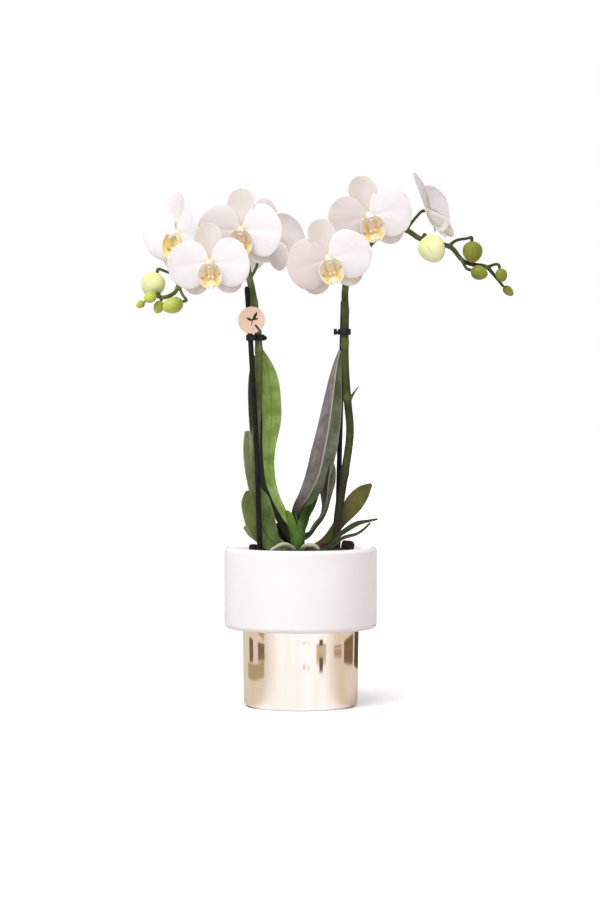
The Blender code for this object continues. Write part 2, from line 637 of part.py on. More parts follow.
def make_tag():
    """A small round wooden tag that hangs on the left stake, facing the viewer."""
    route = [(0, y, 0, TAG_RADIUS) for y in (-TAG_THICKNESS, 0)]
    tag = add_object("plant_tag", tube_mesh("plant_tag", route, sides=28), TAG_WOOD)
    tilt = Matrix.Rotation(math.radians(TAG_TILT), 4, Vector((1, 0, 1)))
    tag.matrix_world = Matrix.Translation(TAG_CENTRE) @ tilt


# ---- Flower parts in the flower's own frame: +X right, +Y up, +Z out of the face -----------

SEPAL_OUTLINE = [(0, 0.22), (0.2, 0.62), (0.45, 0.98), (0.62, 1.0), (0.82, 0.78), (0.94, 0.45), (1, 0.14)]
PETAL_OUTLINE = [(0, 0.12), (0.14, 0.30), (0.32, 0.82), (0.52, 1.0), (0.74, 0.94), (0.9, 0.66), (1, 0.22)]
PETAL_PLANE = 0.0010
SEPAL_PLANE = -0.0010
SEPAL_BACK = -0.0030  # where the stalk meets the flower
BLADE_START = 0.0015
LIP_DROP = -0.0078  # the lip hangs below the centre, under the column


def flower_blade(name, angle, length, half_width, outline, plane, bend, cup):
    """One petal or sepal that leaves the centre at an angle from up, in degrees, to the right."""
    turn = math.radians(angle)
    way = Vector((math.sin(turn), math.cos(turn), 0))
    midline, widths = [], []
    for share, width in outline:
        reach = BLADE_START + (length - BLADE_START) * share
        midline.append(way * reach + Vector((0, 0, plane + bend * share * share)))
        widths.append(width * half_width)
    normals = [Vector((0, 0, 1))] * len(midline)
    steps = 4 if half_width > SEPAL_HALF_WIDTH else 2
    return blade_mesh(name, midline, widths, normals, cup, BLADE_THICKNESS, steps)


def ball_mesh(name, centre, radii):
    shape = bmesh.new()
    bmesh.ops.create_uvsphere(shape, u_segments=8, v_segments=6, radius=1.0)
    for vert in shape.verts:
        vert.co = Vector(centre) + Vector([c * r for c, r in zip(vert.co, radii)])
    mesh = bpy.data.meshes.new(name)
    shape.to_mesh(mesh)
    shape.free()
    return mesh


def joined_mesh(name, meshes):
    """One closed mesh from several that overlap."""
    base = helper_object(name + "_base", meshes[0])
    others = [helper_object(f"{name}_{i}", mesh) for i, mesh in enumerate(meshes[1:])]
    for other in others:
        apply_boolean(base, other, "UNION")
    graph = bpy.context.evaluated_depsgraph_get()
    joined = bpy.data.meshes.new_from_object(base.evaluated_get(graph))
    joined.name = name
    for obj in (base, *others):
        bpy.data.objects.remove(obj)
    return joined


def sepals_mesh(lateral_bend):
    """Three sepals that leave a small cup, behind the petals."""
    blades = [
        flower_blade("sepal", angle, SEPAL_LENGTH, SEPAL_HALF_WIDTH, SEPAL_OUTLINE, SEPAL_PLANE,
                     bend, SEPAL_CUP)
        for angle, bend in ((0, SEPAL_BEND), (LATERAL_SEPAL_ANGLE, lateral_bend),
                            (-LATERAL_SEPAL_ANGLE, lateral_bend))
    ]
    cup = tube_mesh("cup", [(0, 0, SEPAL_BACK, 0.0022), (0, 0, SEPAL_PLANE, 0.0034)], sides=10)
    return joined_mesh("sepals", [cup, *blades])


def petals_mesh(bend):
    """Two broad petals, which bend forward."""
    blades = [
        flower_blade("petal", angle, PETAL_LENGTH, PETAL_HALF_WIDTH, PETAL_OUTLINE, PETAL_PLANE,
                     bend, PETAL_CUP)
        for angle in (PETAL_ANGLE, -PETAL_ANGLE)
    ]
    low, high = PETAL_PLANE - BLADE_THICKNESS, PETAL_PLANE
    claw = tube_mesh("claw", [(0, 0, low, 0.0034), (0, 0, high, 0.0030)], sides=10)
    return joined_mesh("petals", [claw, *blades])


def lip_mesh():
    """The lip with its two side lobes and middle lobe, and the column above it."""
    floor = PETAL_PLANE + GAP
    saddle = ball_mesh("saddle", (0, LIP_DROP, floor + 0.0026), (0.0042, 0.0048, 0.0026))
    column = ball_mesh("column", (0, -0.0018, floor + 0.0044), (0.0027, 0.0036, 0.0044))
    lobes = []
    for side in (-1, 1):
        midline = [
            Vector((side * 0.0015, LIP_DROP, floor + 0.0015)),
            Vector((side * 0.0060, LIP_DROP - 0.0002, floor + 0.0028)),
            Vector((side * 0.0080, LIP_DROP - 0.0004, floor + 0.0070)),
            Vector((side * 0.0072, LIP_DROP - 0.0004, floor + 0.0102)),
        ]
        normals = [Vector((-side * 0.6, 0, 1)), Vector((-side * 0.8, 0, 0.7)), Vector((-side, 0, 0.1)),
                   Vector((-side, 0, -0.2))]
        widths = [0.0030, 0.0052, 0.0050, 0.0022]
        lobes.append(blade_mesh("side_lobe", midline, widths, normals, 0.0, BLADE_THICKNESS, 2))
    midline = [Vector((0, LIP_DROP - y, floor + z)) for y, z in
               ((0.0020, 0.0022), (0.0055, 0.0050), (0.0085, 0.0085), (0.0110, 0.0095))]
    normals = [Vector((0, 0.6, 1))] * len(midline)
    widths = [0.0022, 0.0036, 0.0040, 0.0014]
    middle = blade_mesh("middle_lobe", midline, widths, normals, 0.1, BLADE_THICKNESS, 2)
    return joined_mesh("lip", [saddle, column, *lobes, middle])


def flower_matrix(flower):
    """Carries the flower's own frame to its place: yaw, pitch and roll, then size."""
    yaw, pitch, roll = (math.radians(flower[key]) for key in ("yaw", "pitch", "roll"))
    to_viewer = Matrix.Rotation(math.radians(90), 4, "X")
    turn = (
        Matrix.Rotation(yaw, 4, "Z")
        @ Matrix.Rotation(-pitch, 4, "X")
        @ to_viewer
        @ Matrix.Rotation(-roll, 4, "Z")
    )
    return Matrix.Translation(flower["centre"]) @ turn @ Matrix.Scale(flower["size"], 4)


def make_flowers():
    """Every flower is three nodes: sepals, petals, and lip with column."""
    opened = sepals_mesh(SEPAL_BEND), petals_mesh(PETAL_BEND)
    cupped = sepals_mesh(CUPPED_SEPAL_BEND), petals_mesh(CUPPED_PETAL_BEND)
    lip = lip_mesh()
    for name, flower in FLOWERS.items():
        sepals, petals = cupped if flower.get("cupped") else opened
        parts = (("sepals", sepals, PETAL_WHITE), ("petals", petals, PETAL_WHITE), ("lip", lip, LIP_YELLOW))
        for part, mesh, finish in parts:
            piece = add_object(f"{name}_{part}", mesh, finish)
            piece.matrix_world = flower_matrix(flower)


# ---- Spikes and buds ----------------------------------------------------------------------


def bud_foot(bud, spike):
    """Where a bud's stalk ends: the last stalk point, or the spike's own tip."""
    return Vector(bud["stem"][-1]) if bud["stem"] else Vector(spike[-1][:3])


def stalk_points(stem, end, way):
    """A stalk's points, ending in a short straight run that meets its flower or bud squarely."""
    run_up = end - way * STALK_RUN_UP
    return [*stem, tuple(run_up), tuple(end)]


def make_spike(name, route, flowers, buds):
    """A flower spike: the main stem, with the stalks of its flowers and buds grown from it."""
    main = [tuple(p) for p in spline(route, 2)]
    spike = add_object(name, tube_mesh(name, main), STEM_GREEN)
    stalks = []
    for flower_name in flowers:
        flower = FLOWERS[flower_name]
        place = flower_matrix(flower)
        end = place @ Vector((0, 0, SEPAL_BACK - 2 * GAP))
        way = (place.to_3x3() @ Vector((0, 0, 1))).normalized()
        stalks.append((flower_name, stalk_points(flower["stem"], end, way)))
    for bud_name in buds:
        bud = BUDS[bud_name]
        if bud["stem"]:
            way = Vector(bud["points"]).normalized()
            stalks.append((bud_name, stalk_points(bud["stem"][:-1], Vector(bud["stem"][-1]), way)))
    for stalk_name, points in stalks:
        route_points = [(*p, PEDICEL_RADIUS) for p in points]
        mesh = tube_mesh("stalk", [tuple(p) for p in spline(route_points, 2)], sides=6)
        apply_boolean(spike, helper_object(f"{stalk_name}_stalk", mesh), "UNION")
    return spike


def make_buds(buds, spike):
    """Closed buds: egg shapes that start a hair beyond the end of their stalk."""
    turns, levels = 10, 6
    for name in buds:
        bud = BUDS[name]
        along = Vector(bud["points"]).normalized()
        foot = bud_foot(bud, spike) + along * GAP
        route = []
        for i in range(levels + 1):
            share = 0.03 + 0.94 * i / levels
            swell = math.sin(math.pi * share) ** 0.75 * (1.06 - 0.12 * share)
            route.append((*(foot + along * bud["length"] * (i / levels)), bud["width"] / 2 * swell))
        add_object(name, tube_mesh(name, route, sides=turns), BUD_GREEN)


# ---- Leaves, crown and roots --------------------------------------------------------------


def make_leaf(name, leaf):
    rib = spline(leaf["rib"], 2)
    midline = [Vector(point[:3]) for point in rib]
    half_widths = [point[3] for point in rib]
    base_faces, tip_faces = Vector(leaf["base_faces"]), Vector(leaf["tip_faces"])
    normals = [base_faces.lerp(tip_faces, i / (len(rib) - 1)) for i in range(len(rib))]
    mesh = blade_mesh(name, midline, half_widths, normals, leaf["fold"], LEAF_THICKNESS, LEAF_STEPS)
    add_object(name, mesh, LEAF_GREEN)


def crown_route(grow=0.0):
    x, y = CROWN_CENTRE
    heights = (CROWN_FOOT - 0.004 - grow, CROWN_FOOT + 0.004, CROWN_TOP)
    return [(x, y, z, CROWN_RADIUS * size) for z, size in zip(heights, (0.9, 1.0, 0.72))]


def make_pockets():
    """Cutters a gap wider than the stakes, spikes and crown, where these enter the bark."""
    routes = {
        "left_stake": stake_route(LEFT_STAKE, GAP),
        "right_stake": stake_route(RIGHT_STAKE, GAP),
        "left_spike": [(-0.0265, 0.0033, 0.1060, 0.0031), *LEFT_SPIKE[:2]],
        "right_spike": [(0.0248, 0.0020, 0.1060, 0.0032), *RIGHT_SPIKE[:2]],
        "crown": crown_route(GAP),
    }
    return [helper_object(f"pocket_{name}", tube_mesh("pocket", route, sides=10, grow=2 * GAP))
            for name, route in routes.items()]


def main():
    for obj in list(bpy.data.objects):
        bpy.data.objects.remove(obj)
    make_cover_pot()
    make_grow_pot()
    make_bark_fill(make_pockets())
    make_bark_chips()
    for name, stake in (("stake_left", LEFT_STAKE), ("stake_right", RIGHT_STAKE)):
        add_object(name, tube_mesh(name, stake_route(stake), sides=10), STAKE_BROWN)
    make_clip("clip_left", LEFT_STAKE, LEFT_SPIKE, 0.2733, -0.0268)
    make_clip("clip_right", RIGHT_STAKE, RIGHT_SPIKE, 0.2775, 0.0242)
    make_tag()
    add_object("crown", tube_mesh("crown", crown_route(), sides=12), STEM_GREEN)
    for name, leaf in LEAVES.items():
        make_leaf(name, leaf)
    for name, route in ROOTS.items():
        add_object(name, tube_mesh(name, [tuple(p) for p in spline(route, 3)]), ROOT_SILVER)
    left_buds = [name for name in BUDS if "left" in name]
    right_buds = [name for name in BUDS if "right" in name]
    right_flowers = [name for name in FLOWERS if name not in LEFT_FLOWERS]
    make_spike("spike_left", LEFT_SPIKE, LEFT_FLOWERS, left_buds)
    make_spike("spike_right", RIGHT_SPIKE, right_flowers, right_buds)
    make_buds(left_buds, LEFT_SPIKE)
    make_buds(right_buds, RIGHT_SPIKE)
    make_flowers()


main()
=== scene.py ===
import math
import random

import bmesh
import bpy
import numpy as np
from mathutils import Matrix, Vector, noise


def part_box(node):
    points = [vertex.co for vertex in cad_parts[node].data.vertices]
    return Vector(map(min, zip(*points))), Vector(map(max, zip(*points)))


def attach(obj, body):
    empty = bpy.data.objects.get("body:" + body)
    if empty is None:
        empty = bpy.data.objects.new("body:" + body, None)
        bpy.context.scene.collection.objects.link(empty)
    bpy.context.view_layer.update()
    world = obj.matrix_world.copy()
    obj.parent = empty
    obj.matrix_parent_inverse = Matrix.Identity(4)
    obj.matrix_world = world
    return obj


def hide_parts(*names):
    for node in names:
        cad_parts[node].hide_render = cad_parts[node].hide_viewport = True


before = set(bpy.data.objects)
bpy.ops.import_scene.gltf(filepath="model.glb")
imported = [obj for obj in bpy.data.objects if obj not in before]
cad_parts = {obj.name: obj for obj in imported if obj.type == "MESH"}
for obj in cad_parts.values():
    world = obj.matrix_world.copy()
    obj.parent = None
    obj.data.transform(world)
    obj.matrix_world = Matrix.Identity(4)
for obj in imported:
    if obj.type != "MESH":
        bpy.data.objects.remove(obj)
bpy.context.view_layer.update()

# =============================================================================================
# Sizes taken from the frame
# =============================================================================================

pot_low, pot_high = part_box("cover_pot")
grow_low, grow_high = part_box("grow_pot")
bark_low, bark_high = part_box("bark_fill")
tag_low, tag_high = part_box("plant_tag")

MM = 0.001
RIM_HEIGHT = pot_high.z
DRUM_RADIUS = pot_high.x
FOOT_TOP_RADIUS = 0.765 * DRUM_RADIUS
FOOT_BASE_RADIUS = 0.742 * DRUM_RADIUS
DRUM_BOTTOM = 0.4895 * RIM_HEIGHT
POT_WALL = 4.5 * MM
POT_FLOOR = 6 * MM

# =============================================================================================
# Points, curves and shapes. A shape is (points, faces, marks): marks are named values that the
# finishes read at every point, such as how far along a petal it lies.
# =============================================================================================


def unit(vectors):
    return vectors / np.maximum(np.linalg.norm(vectors, axis=-1, keepdims=True), 1e-12)


def spline(points, count):
    """Evenly parametrised points on a smooth curve through the given ones."""
    points = np.array(points, float)
    points = np.vstack([2 * points[0] - points[1], points, 2 * points[-1] - points[-2]])
    spans = len(points) - 3
    place = np.linspace(0, spans, count)
    index = np.minimum(place.astype(int), spans - 1)
    t = (place - index)[:, None]
    a, b, c, d = points[index], points[index + 1], points[index + 2], points[index + 3]
    return 0.5 * (2 * b + (c - a) * t + (2 * a - 5 * b + 4 * c - d) * t**2 + (3 * b - a - 3 * c + d) * t**3)


def interpolate(table, shares):
    """Values of a table of (share, value), eased between its rows."""
    table = np.array(table, float)
    fine = spline(table, 8 * len(table))
    return np.interp(shares, fine[:, 0], fine[:, 1])


def grid_shape(grid, marks=None, closed=False):
    """A shape from rows of points. A closed one joins each row's ends and caps the first and last row."""
    rows, columns = grid.shape[:2]
    number = np.arange(rows * columns).reshape(rows, columns)
    across = columns if closed else columns - 1
    faces = []
    for i in range(rows - 1):
        for j in range(across):
            k = (j + 1) % columns
            faces.append((number[i, j], number[i + 1, j], number[i + 1, k], number[i, k]))
    if closed:
        faces.append(tuple(number[0]))
        faces.append(tuple(number[-1][::-1]))
    flat = {name: np.broadcast_to(values, (rows, columns)).reshape(-1) for name, values in (marks or {}).items()}
    return grid.reshape(-1, 3), faces, flat


def joined(shapes):
    """Several shapes as one. A mark that a shape lacks is zero on it."""
    names = {name for shape in shapes for name in shape[2]}
    points, faces, marks, start = [], [], {name: [] for name in names}, 0
    for shape_points, shape_faces, shape_marks in shapes:
        points.append(shape_points)
        faces += [tuple(int(v) + start for v in face) for face in shape_faces]
        for name in names:
            marks[name].append(shape_marks.get(name, np.zeros(len(shape_points))))
        start += len(shape_points)
    return np.vstack(points), faces, {name: np.concatenate(values) for name, values in marks.items()}


def moved(shape, matrix):
    points = shape[0] @ np.array(matrix.to_3x3()).T + np.array(matrix.translation)
    return points, shape[1], shape[2]


def tube(path, radii, sides=16, flat=1.0, marks=None):
    """A closed tube along a path. Flat below 1 presses it thinner across its second axis."""
    path = np.array(path, float)
    along = unit(np.gradient(path, axis=0))
    across = np.array(Vector(along[0]).orthogonal().normalized())
    turn = np.linspace(0, 2 * math.pi, sides, endpoint=False)
    grid = np.zeros((len(path), sides, 3))
    for i, (centre, way, radius) in enumerate(zip(path, along, radii)):
        across = across - way * across.dot(way)
        across /= np.linalg.norm(across)
        other = np.cross(way, across)
        grid[i] = centre + radius * (np.outer(np.cos(turn), across) * flat + np.outer(np.sin(turn), other))
    given = {"along": np.linspace(0, 1, len(path))[:, None]}
    given.update(marks or {})
    return grid_shape(grid[:, ::-1], given, closed=True)


def ball(centre, radii, segments=20, rings=12, marks=None):
    """A closed egg shape."""
    shape = bmesh.new()
    bmesh.ops.create_uvsphere(shape, u_segments=segments, v_segments=rings, radius=1.0)
    points = np.array([v.co[:] for v in shape.verts]) * np.array(radii) + np.array(centre)
    faces = [tuple(v.index for v in f.verts) for f in shape.faces]
    shape.free()
    flat = {name: np.full(len(points), value) for name, value in (marks or {}).items()}
    return points, faces, flat


def blade_grid(path, half_widths, faces_way, columns, fold=0.0, hollow=0.0, shift=0.0):
    """Rows of points across a leaf-like blade. Fold lifts the two halves in a V, hollow in a U."""
    path = np.array(path, float)
    along = unit(np.gradient(path, axis=0))
    up = unit(faces_way - along * np.sum(faces_way * along, axis=1, keepdims=True))
    side = np.cross(up, along)
    across = np.linspace(-1, 1, columns)
    offset = across + shift
    lift = fold * np.sqrt(offset**2 + 0.01) + hollow * offset**2
    widths = np.asarray(half_widths)[:, None, None]
    return path[:, None, :] + widths * (offset[None, :, None] * side[:, None, :] + lift[None, :, None] * up[:, None, :])


# =============================================================================================
# Pieces
# =============================================================================================


def mesh_of(name, shape):
    points, faces, marks = shape
    mesh = bpy.data.meshes.new(name)
    mesh.from_pydata(points.tolist(), [], [tuple(int(v) for v in face) for face in faces])
    for mark, values in marks.items():
        attribute = mesh.attributes.new(mark, "FLOAT", "POINT")
        attribute.data.foreach_set("value", np.asarray(values, np.float32))
    mesh.validate()
    mesh.shade_smooth()
    return mesh


def turn_outward(mesh):
    shape = bmesh.new()
    shape.from_mesh(mesh)
    bmesh.ops.recalc_face_normals(shape, faces=shape.faces)
    shape.to_mesh(mesh)
    shape.free()


def piece(name, shape, finishes, stands_for, thickness=0.0, levels=0, under=False, sharp=None):
    """A piece that rides on the one body. Thickness makes a sheet solid, and under gives its back the next finish."""
    mesh = shape if isinstance(shape, bpy.types.Mesh) else mesh_of(name, shape)
    if not thickness:
        turn_outward(mesh)
    for finish in finishes:
        mesh.materials.append(finish)
    if sharp:
        mesh.set_sharp_from_angle(angle=math.radians(sharp))
    made = bpy.data.objects.new(name, mesh)
    bpy.context.scene.collection.objects.link(made)
    if thickness:
        solid = made.modifiers.new("thickness", "SOLIDIFY")
        solid.thickness = thickness
        solid.offset = -1
        solid.use_quality_normals = True
        if under:
            solid.material_offset = 1
    if levels:
        smooth = made.modifiers.new("smooth", "SUBSURF")
        smooth.levels = smooth.render_levels = levels
    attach(made, "root")
    if stands_for:
        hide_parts(*stands_for)
    return made


# =============================================================================================
# Finishes
# =============================================================================================


def node(tree, kind, inputs=None, **settings):
    """Adds a node. Inputs are values or other nodes' sockets, by socket name or number."""
    made = tree.nodes.new(kind if kind.startswith("ShaderNode") or kind.startswith("NodeGroup") else "ShaderNode" + kind)
    for key, value in settings.items():
        setattr(made, key, value)
    for key, value in (inputs or {}).items():
        plug(tree, value, made.inputs[key])
    return made


def plug(tree, value, socket):
    if isinstance(value, bpy.types.NodeSocket):
        tree.links.new(value, socket)
    else:
        socket.default_value = value


def maths(tree, operation, first, second=0.0, third=0.0):
    return node(tree, "Math", {0: first, 1: second, 2: third}, operation=operation).outputs[0]


def blend(tree, share, first, second):
    """A colour between two, as opaque RGBA or sockets."""
    return node(tree, "Mix", {0: share, 6: rgba(first), 7: rgba(second)}, data_type="RGBA").outputs[2]


def rgba(colour):
    return (*colour, 1.0) if isinstance(colour, tuple) and len(colour) == 3 else colour


def mark(tree, name):
    return node(tree, "Attribute", attribute_name=name).outputs[2]


def spread(tree, value, low, high, to_low=0.0, to_high=1.0):
    """Maps low..high to to_low..to_high with a smooth step."""
    inputs = {"Value": value, "From Min": low, "From Max": high, "To Min": to_low, "To Max": to_high}
    return node(tree, "MapRange", inputs, interpolation_type="SMOOTHSTEP").outputs[0]


def bump(tree, height, strength, distance):
    inputs = {"Height": height, "Strength": strength, "Distance": distance}
    return node(tree, "Bump", inputs).outputs[0]


def group(name, inputs, outputs, build):
    """A node group with float inputs and outputs, filled by build(tree, inlet, outlet)."""
    tree = bpy.data.node_groups.new(name, "ShaderNodeTree")
    for label, value in inputs.items():
        tree.interface.new_socket(label, in_out="INPUT", socket_type="NodeSocketFloat").default_value = value
    for label in outputs:
        tree.interface.new_socket(label, in_out="OUTPUT", socket_type="NodeSocketFloat")
    inlet, outlet = tree.nodes.new("NodeGroupInput"), tree.nodes.new("NodeGroupOutput")
    for label, value in build(tree, inlet.outputs).items():
        tree.links.new(value, outlet.inputs[label])
    return tree


def build_mottle(tree, inlet):
    place = node(tree, "TexCoord").outputs["Object"]
    cloud = node(tree, "TexNoise", {"Vector": place, "Scale": inlet["Scale"], "Detail": 5.0, "Roughness": 0.6})
    return {"Mask": spread(tree, cloud.outputs[0], inlet["Low"], inlet["High"])}


def build_fine_veins(tree, inlet):
    across = mark(tree, "across")
    wander = node(tree, "TexNoise", {"Vector": node(tree, "TexCoord").outputs["Object"], "Scale": 60.0})
    bent = maths(tree, "ADD", maths(tree, "MULTIPLY", across, inlet["Count"]), wander.outputs[0])
    wave = maths(tree, "ABSOLUTE", maths(tree, "SINE", bent))
    line = maths(tree, "POWER", maths(tree, "SUBTRACT", 1.0, wave), inlet["Sharpness"])
    return {"Mask": line}


def build_specks(tree, inlet):
    place = node(tree, "TexCoord").outputs["Object"]
    cells = node(tree, "TexVoronoi", {"Vector": place, "Scale": inlet["Scale"]})
    dots = spread(tree, cells.outputs["Distance"], inlet["Size"], 0.0)
    some = node(tree, "TexNoise", {"Vector": place, "Scale": 70.0}).outputs[0]
    return {"Mask": maths(tree, "MULTIPLY", dots, spread(tree, some, 0.45, 0.62))}


MOTTLE = group("mottle", {"Scale": 60.0, "Low": 0.35, "High": 0.65}, ["Mask"], build_mottle)
FINE_VEINS = group("fine_veins", {"Count": 30.0, "Sharpness": 4.0}, ["Mask"], build_fine_veins)
SPECKS = group("specks", {"Scale": 400.0, "Size": 0.12}, ["Mask"], build_specks)


def effect(tree, effect_group, **values):
    made = tree.nodes.new("ShaderNodeGroup")
    made.node_tree = effect_group
    for label, value in values.items():
        made.inputs[label].default_value = value
    return made.outputs["Mask"]


def finish(name, **constants):
    """A material, its node tree and its Principled shader with the given constants."""
    made = bpy.data.materials.new(name)
    made.use_nodes = True
    tree = made.node_tree
    shader = tree.nodes["Principled BSDF"]
    for label, value in constants.items():
        shader.inputs[label.replace("_", " ")].default_value = rgba(value)
    return made, tree, shader


def make_white_glaze(name, glow):
    made, tree, shader = finish(
        name, Roughness=0.10, Coat_Weight=0.6, Coat_Roughness=0.03, Emission_Color=(1.0, 0.98, 1.0), Emission_Strength=glow,
    )
    cloud = effect(tree, MOTTLE, Scale=14.0, Low=0.3, High=0.7)
    plug(tree, blend(tree, cloud, (0.86, 0.845, 0.86), (0.88, 0.865, 0.88)), shader.inputs["Base Color"])
    plug(tree, bump(tree, cloud, 0.04, 0.001), shader.inputs["Normal"])
    return made


def make_gold_lustre():
    """Thin mirror lustre: brushed on upright, so its tint and its ripples run up and down."""
    made, tree, shader = finish("gold_lustre", Metallic=1.0)
    place = node(tree, "TexCoord").outputs["Object"]
    upright = node(tree, "Mapping", {"Vector": place, "Scale": (1.0, 1.0, 0.06)}).outputs[0]
    streak = node(tree, "TexNoise", {"Vector": upright, "Scale": 120.0, "Detail": 4.0}).outputs[0]
    broad = node(tree, "TexNoise", {"Vector": upright, "Scale": 26.0, "Detail": 2.0}).outputs[0]
    tint = blend(tree, spread(tree, streak, 0.3, 0.7), (0.90, 0.78, 0.61), (0.86, 0.71, 0.52))
    tint = blend(tree, spread(tree, broad, 0.42, 0.68, 0.0, 0.6), tint, (0.94, 0.86, 0.73))
    plug(tree, tint, shader.inputs["Base Color"])
    plug(tree, spread(tree, broad, 0.3, 0.7, 0.05, 0.09), shader.inputs["Roughness"])
    plug(tree, bump(tree, broad, 0.05, 0.002), shader.inputs["Normal"])
    return made


def make_petal_white(name="petal_white", shade=(0.93, 0.895, 0.92), heart=(0.80, 0.78, 0.55),
                     tone=(0.67, 0.56, 0.52)):
    """Sparkling white tissue, pinkish where thin, green-cream towards the heart, with fan-like veins, and a pinkish
    painted shade laid on where the tone mark is high.
    """
    made, tree, shader = finish(
        name, Roughness=0.55, Subsurface_Weight=0.2, Subsurface_Scale=0.003, Sheen_Weight=0.05,
        Specular_IOR_Level=0.3,
    )
    shader.inputs["Subsurface Radius"].default_value = (1.0, 0.75, 0.7)
    veins = effect(tree, FINE_VEINS, Count=26.0, Sharpness=5.0)
    cloud = effect(tree, MOTTLE, Scale=45.0, Low=0.3, High=0.75)
    colour = blend(tree, cloud, shade, (0.96, 0.95, 0.985))
    colour = blend(tree, maths(tree, "MULTIPLY", veins, 0.20), colour, (0.84, 0.74, 0.73))
    # Painted shade: the last colour is blended in by the tone mark, darkening petals and sepals that turn away from the
    # light.
    colour = blend(tree, mark(tree, "tone"), colour, tone)
    near_heart = spread(tree, mark(tree, "along"), 0.30, 0.04, 0.0, 0.6)
    colour = blend(tree, near_heart, colour, heart)
    plug(tree, colour, shader.inputs["Base Color"])
    cells = node(tree, "TexNoise", {"Vector": node(tree, "TexCoord").outputs["Object"], "Scale": 900.0})
    height = maths(tree, "ADD", maths(tree, "MULTIPLY", cells.outputs[0], 0.3), veins)
    plug(tree, bump(tree, height, 0.18, 0.0003), shader.inputs["Normal"])
    return made


def make_lip_skin():
    """Tan in the throat, cream at the rim, yellow low down on each side, with red-brown streaks."""
    made, tree, shader = finish("lip_skin", Roughness=0.45, Subsurface_Weight=0.2, Subsurface_Scale=0.003)
    along = mark(tree, "along")
    cloud = effect(tree, MOTTLE, Scale=300.0, Low=0.35, High=0.65)
    colour = blend(tree, spread(tree, along, 0.06, 0.42), (0.86, 0.62, 0.32), (0.93, 0.81, 0.55))
    colour = blend(tree, spread(tree, along, 0.24, 0.55), colour, (0.93, 0.89, 0.83))
    colour = blend(tree, maths(tree, "MULTIPLY", mark(tree, "corner"), 0.9), colour, (0.90, 0.66, 0.10))
    colour = blend(tree, maths(tree, "MULTIPLY", cloud, 0.08), colour, (0.80, 0.55, 0.28))
    colour = blend(tree, mark(tree, "streak"), colour, (0.30, 0.045, 0.03))
    plug(tree, colour, shader.inputs["Base Color"])
    plug(tree, bump(tree, cloud, 0.15, 0.0003), shader.inputs["Normal"])
    return made


def make_leaf_skin(name, dark, light, edge, rib, roughness, dust, base=None):
    """Waxy leaf skin: long fine veins, a rib, a paler margin and dried water specks."""
    made, tree, shader = finish(name, Specular_IOR_Level=0.22)
    across = maths(tree, "ABSOLUTE", mark(tree, "across"))
    along = mark(tree, "along")
    cloud = effect(tree, MOTTLE, Scale=75.0, Low=0.32, High=0.68)
    fine = effect(tree, MOTTLE, Scale=320.0, Low=0.35, High=0.70)
    veins = effect(tree, FINE_VEINS, Count=34.0, Sharpness=3.0)
    colour = blend(tree, cloud, dark, light)
    colour = blend(tree, maths(tree, "MULTIPLY", veins, 0.20), colour, edge)
    colour = blend(tree, maths(tree, "MULTIPLY", fine, 0.18), colour, dark)
    colour = blend(tree, spread(tree, across, 0.14, 0.0, 0.0, 0.65), colour, rib)
    colour = blend(tree, spread(tree, across, 0.90, 1.0, 0.0, 0.75), colour, edge)
    specks = maths(tree, "MULTIPLY", effect(tree, SPECKS, Scale=420.0, Size=0.20), dust)
    colour = blend(tree, specks, colour, (0.72, 0.76, 0.60))
    if base:
        colour = blend(tree, spread(tree, along, 0.52, 0.16, 0.0, 0.85), colour, base)
    plug(tree, colour, shader.inputs["Base Color"])
    plug(tree, spread(tree, fine, 0.0, 1.0, roughness, roughness + 0.12), shader.inputs["Roughness"])
    height = maths(tree, "ADD", veins, maths(tree, "MULTIPLY", fine, 0.5))
    plug(tree, bump(tree, height, 0.20, 0.0003), shader.inputs["Normal"])
    return made


def make_stem_skin(name, dark, light, joint, foot=0.0):
    """Stem skin: olive with darker flecks, paler where the mark called joint is high, and browner below foot."""
    made, tree, shader = finish(name, Roughness=0.45, Specular_IOR_Level=0.22)
    cloud = effect(tree, MOTTLE, Scale=55.0, Low=0.30, High=0.70)
    fine = effect(tree, MOTTLE, Scale=520.0, Low=0.42, High=0.66)
    colour = blend(tree, cloud, dark, light)
    colour = blend(tree, maths(tree, "MULTIPLY", fine, 0.22), colour, (0.035, 0.05, 0.02))
    colour = blend(tree, mark(tree, "joint"), colour, joint)
    if foot:
        height = node(tree, "SeparateXYZ", {0: node(tree, "TexCoord").outputs["Object"]}).outputs["Z"]
        colour = blend(tree, spread(tree, height, foot + 0.006, foot - 0.012, 0.0, 0.85), colour, (0.022, 0.019, 0.010))
    plug(tree, colour, shader.inputs["Base Color"])
    plug(tree, bump(tree, fine, 0.2, 0.0002), shader.inputs["Normal"])
    return made


def make_bud_skin(name, base, tip, seam):
    """Bud skin: colour runs from stalk to tip, with darker seams where the sepals meet."""
    made, tree, shader = finish(
        name, Roughness=0.42, Subsurface_Weight=0.15, Subsurface_Scale=0.003, Specular_IOR_Level=0.3,
    )
    cloud = effect(tree, MOTTLE, Scale=110.0, Low=0.30, High=0.72)
    veins = effect(tree, FINE_VEINS, Count=22.0, Sharpness=3.0)
    colour = blend(tree, spread(tree, mark(tree, "along"), 0.15, 0.95), base, tip)
    colour = blend(tree, maths(tree, "MULTIPLY", cloud, 0.22), colour, seam)
    colour = blend(tree, maths(tree, "MULTIPLY", veins, 0.15), colour, seam)
    colour = blend(tree, maths(tree, "MULTIPLY", mark(tree, "seam"), 0.35), colour, seam)
    plug(tree, colour, shader.inputs["Base Color"])
    plug(tree, bump(tree, veins, 0.12, 0.0003), shader.inputs["Normal"])
    return made


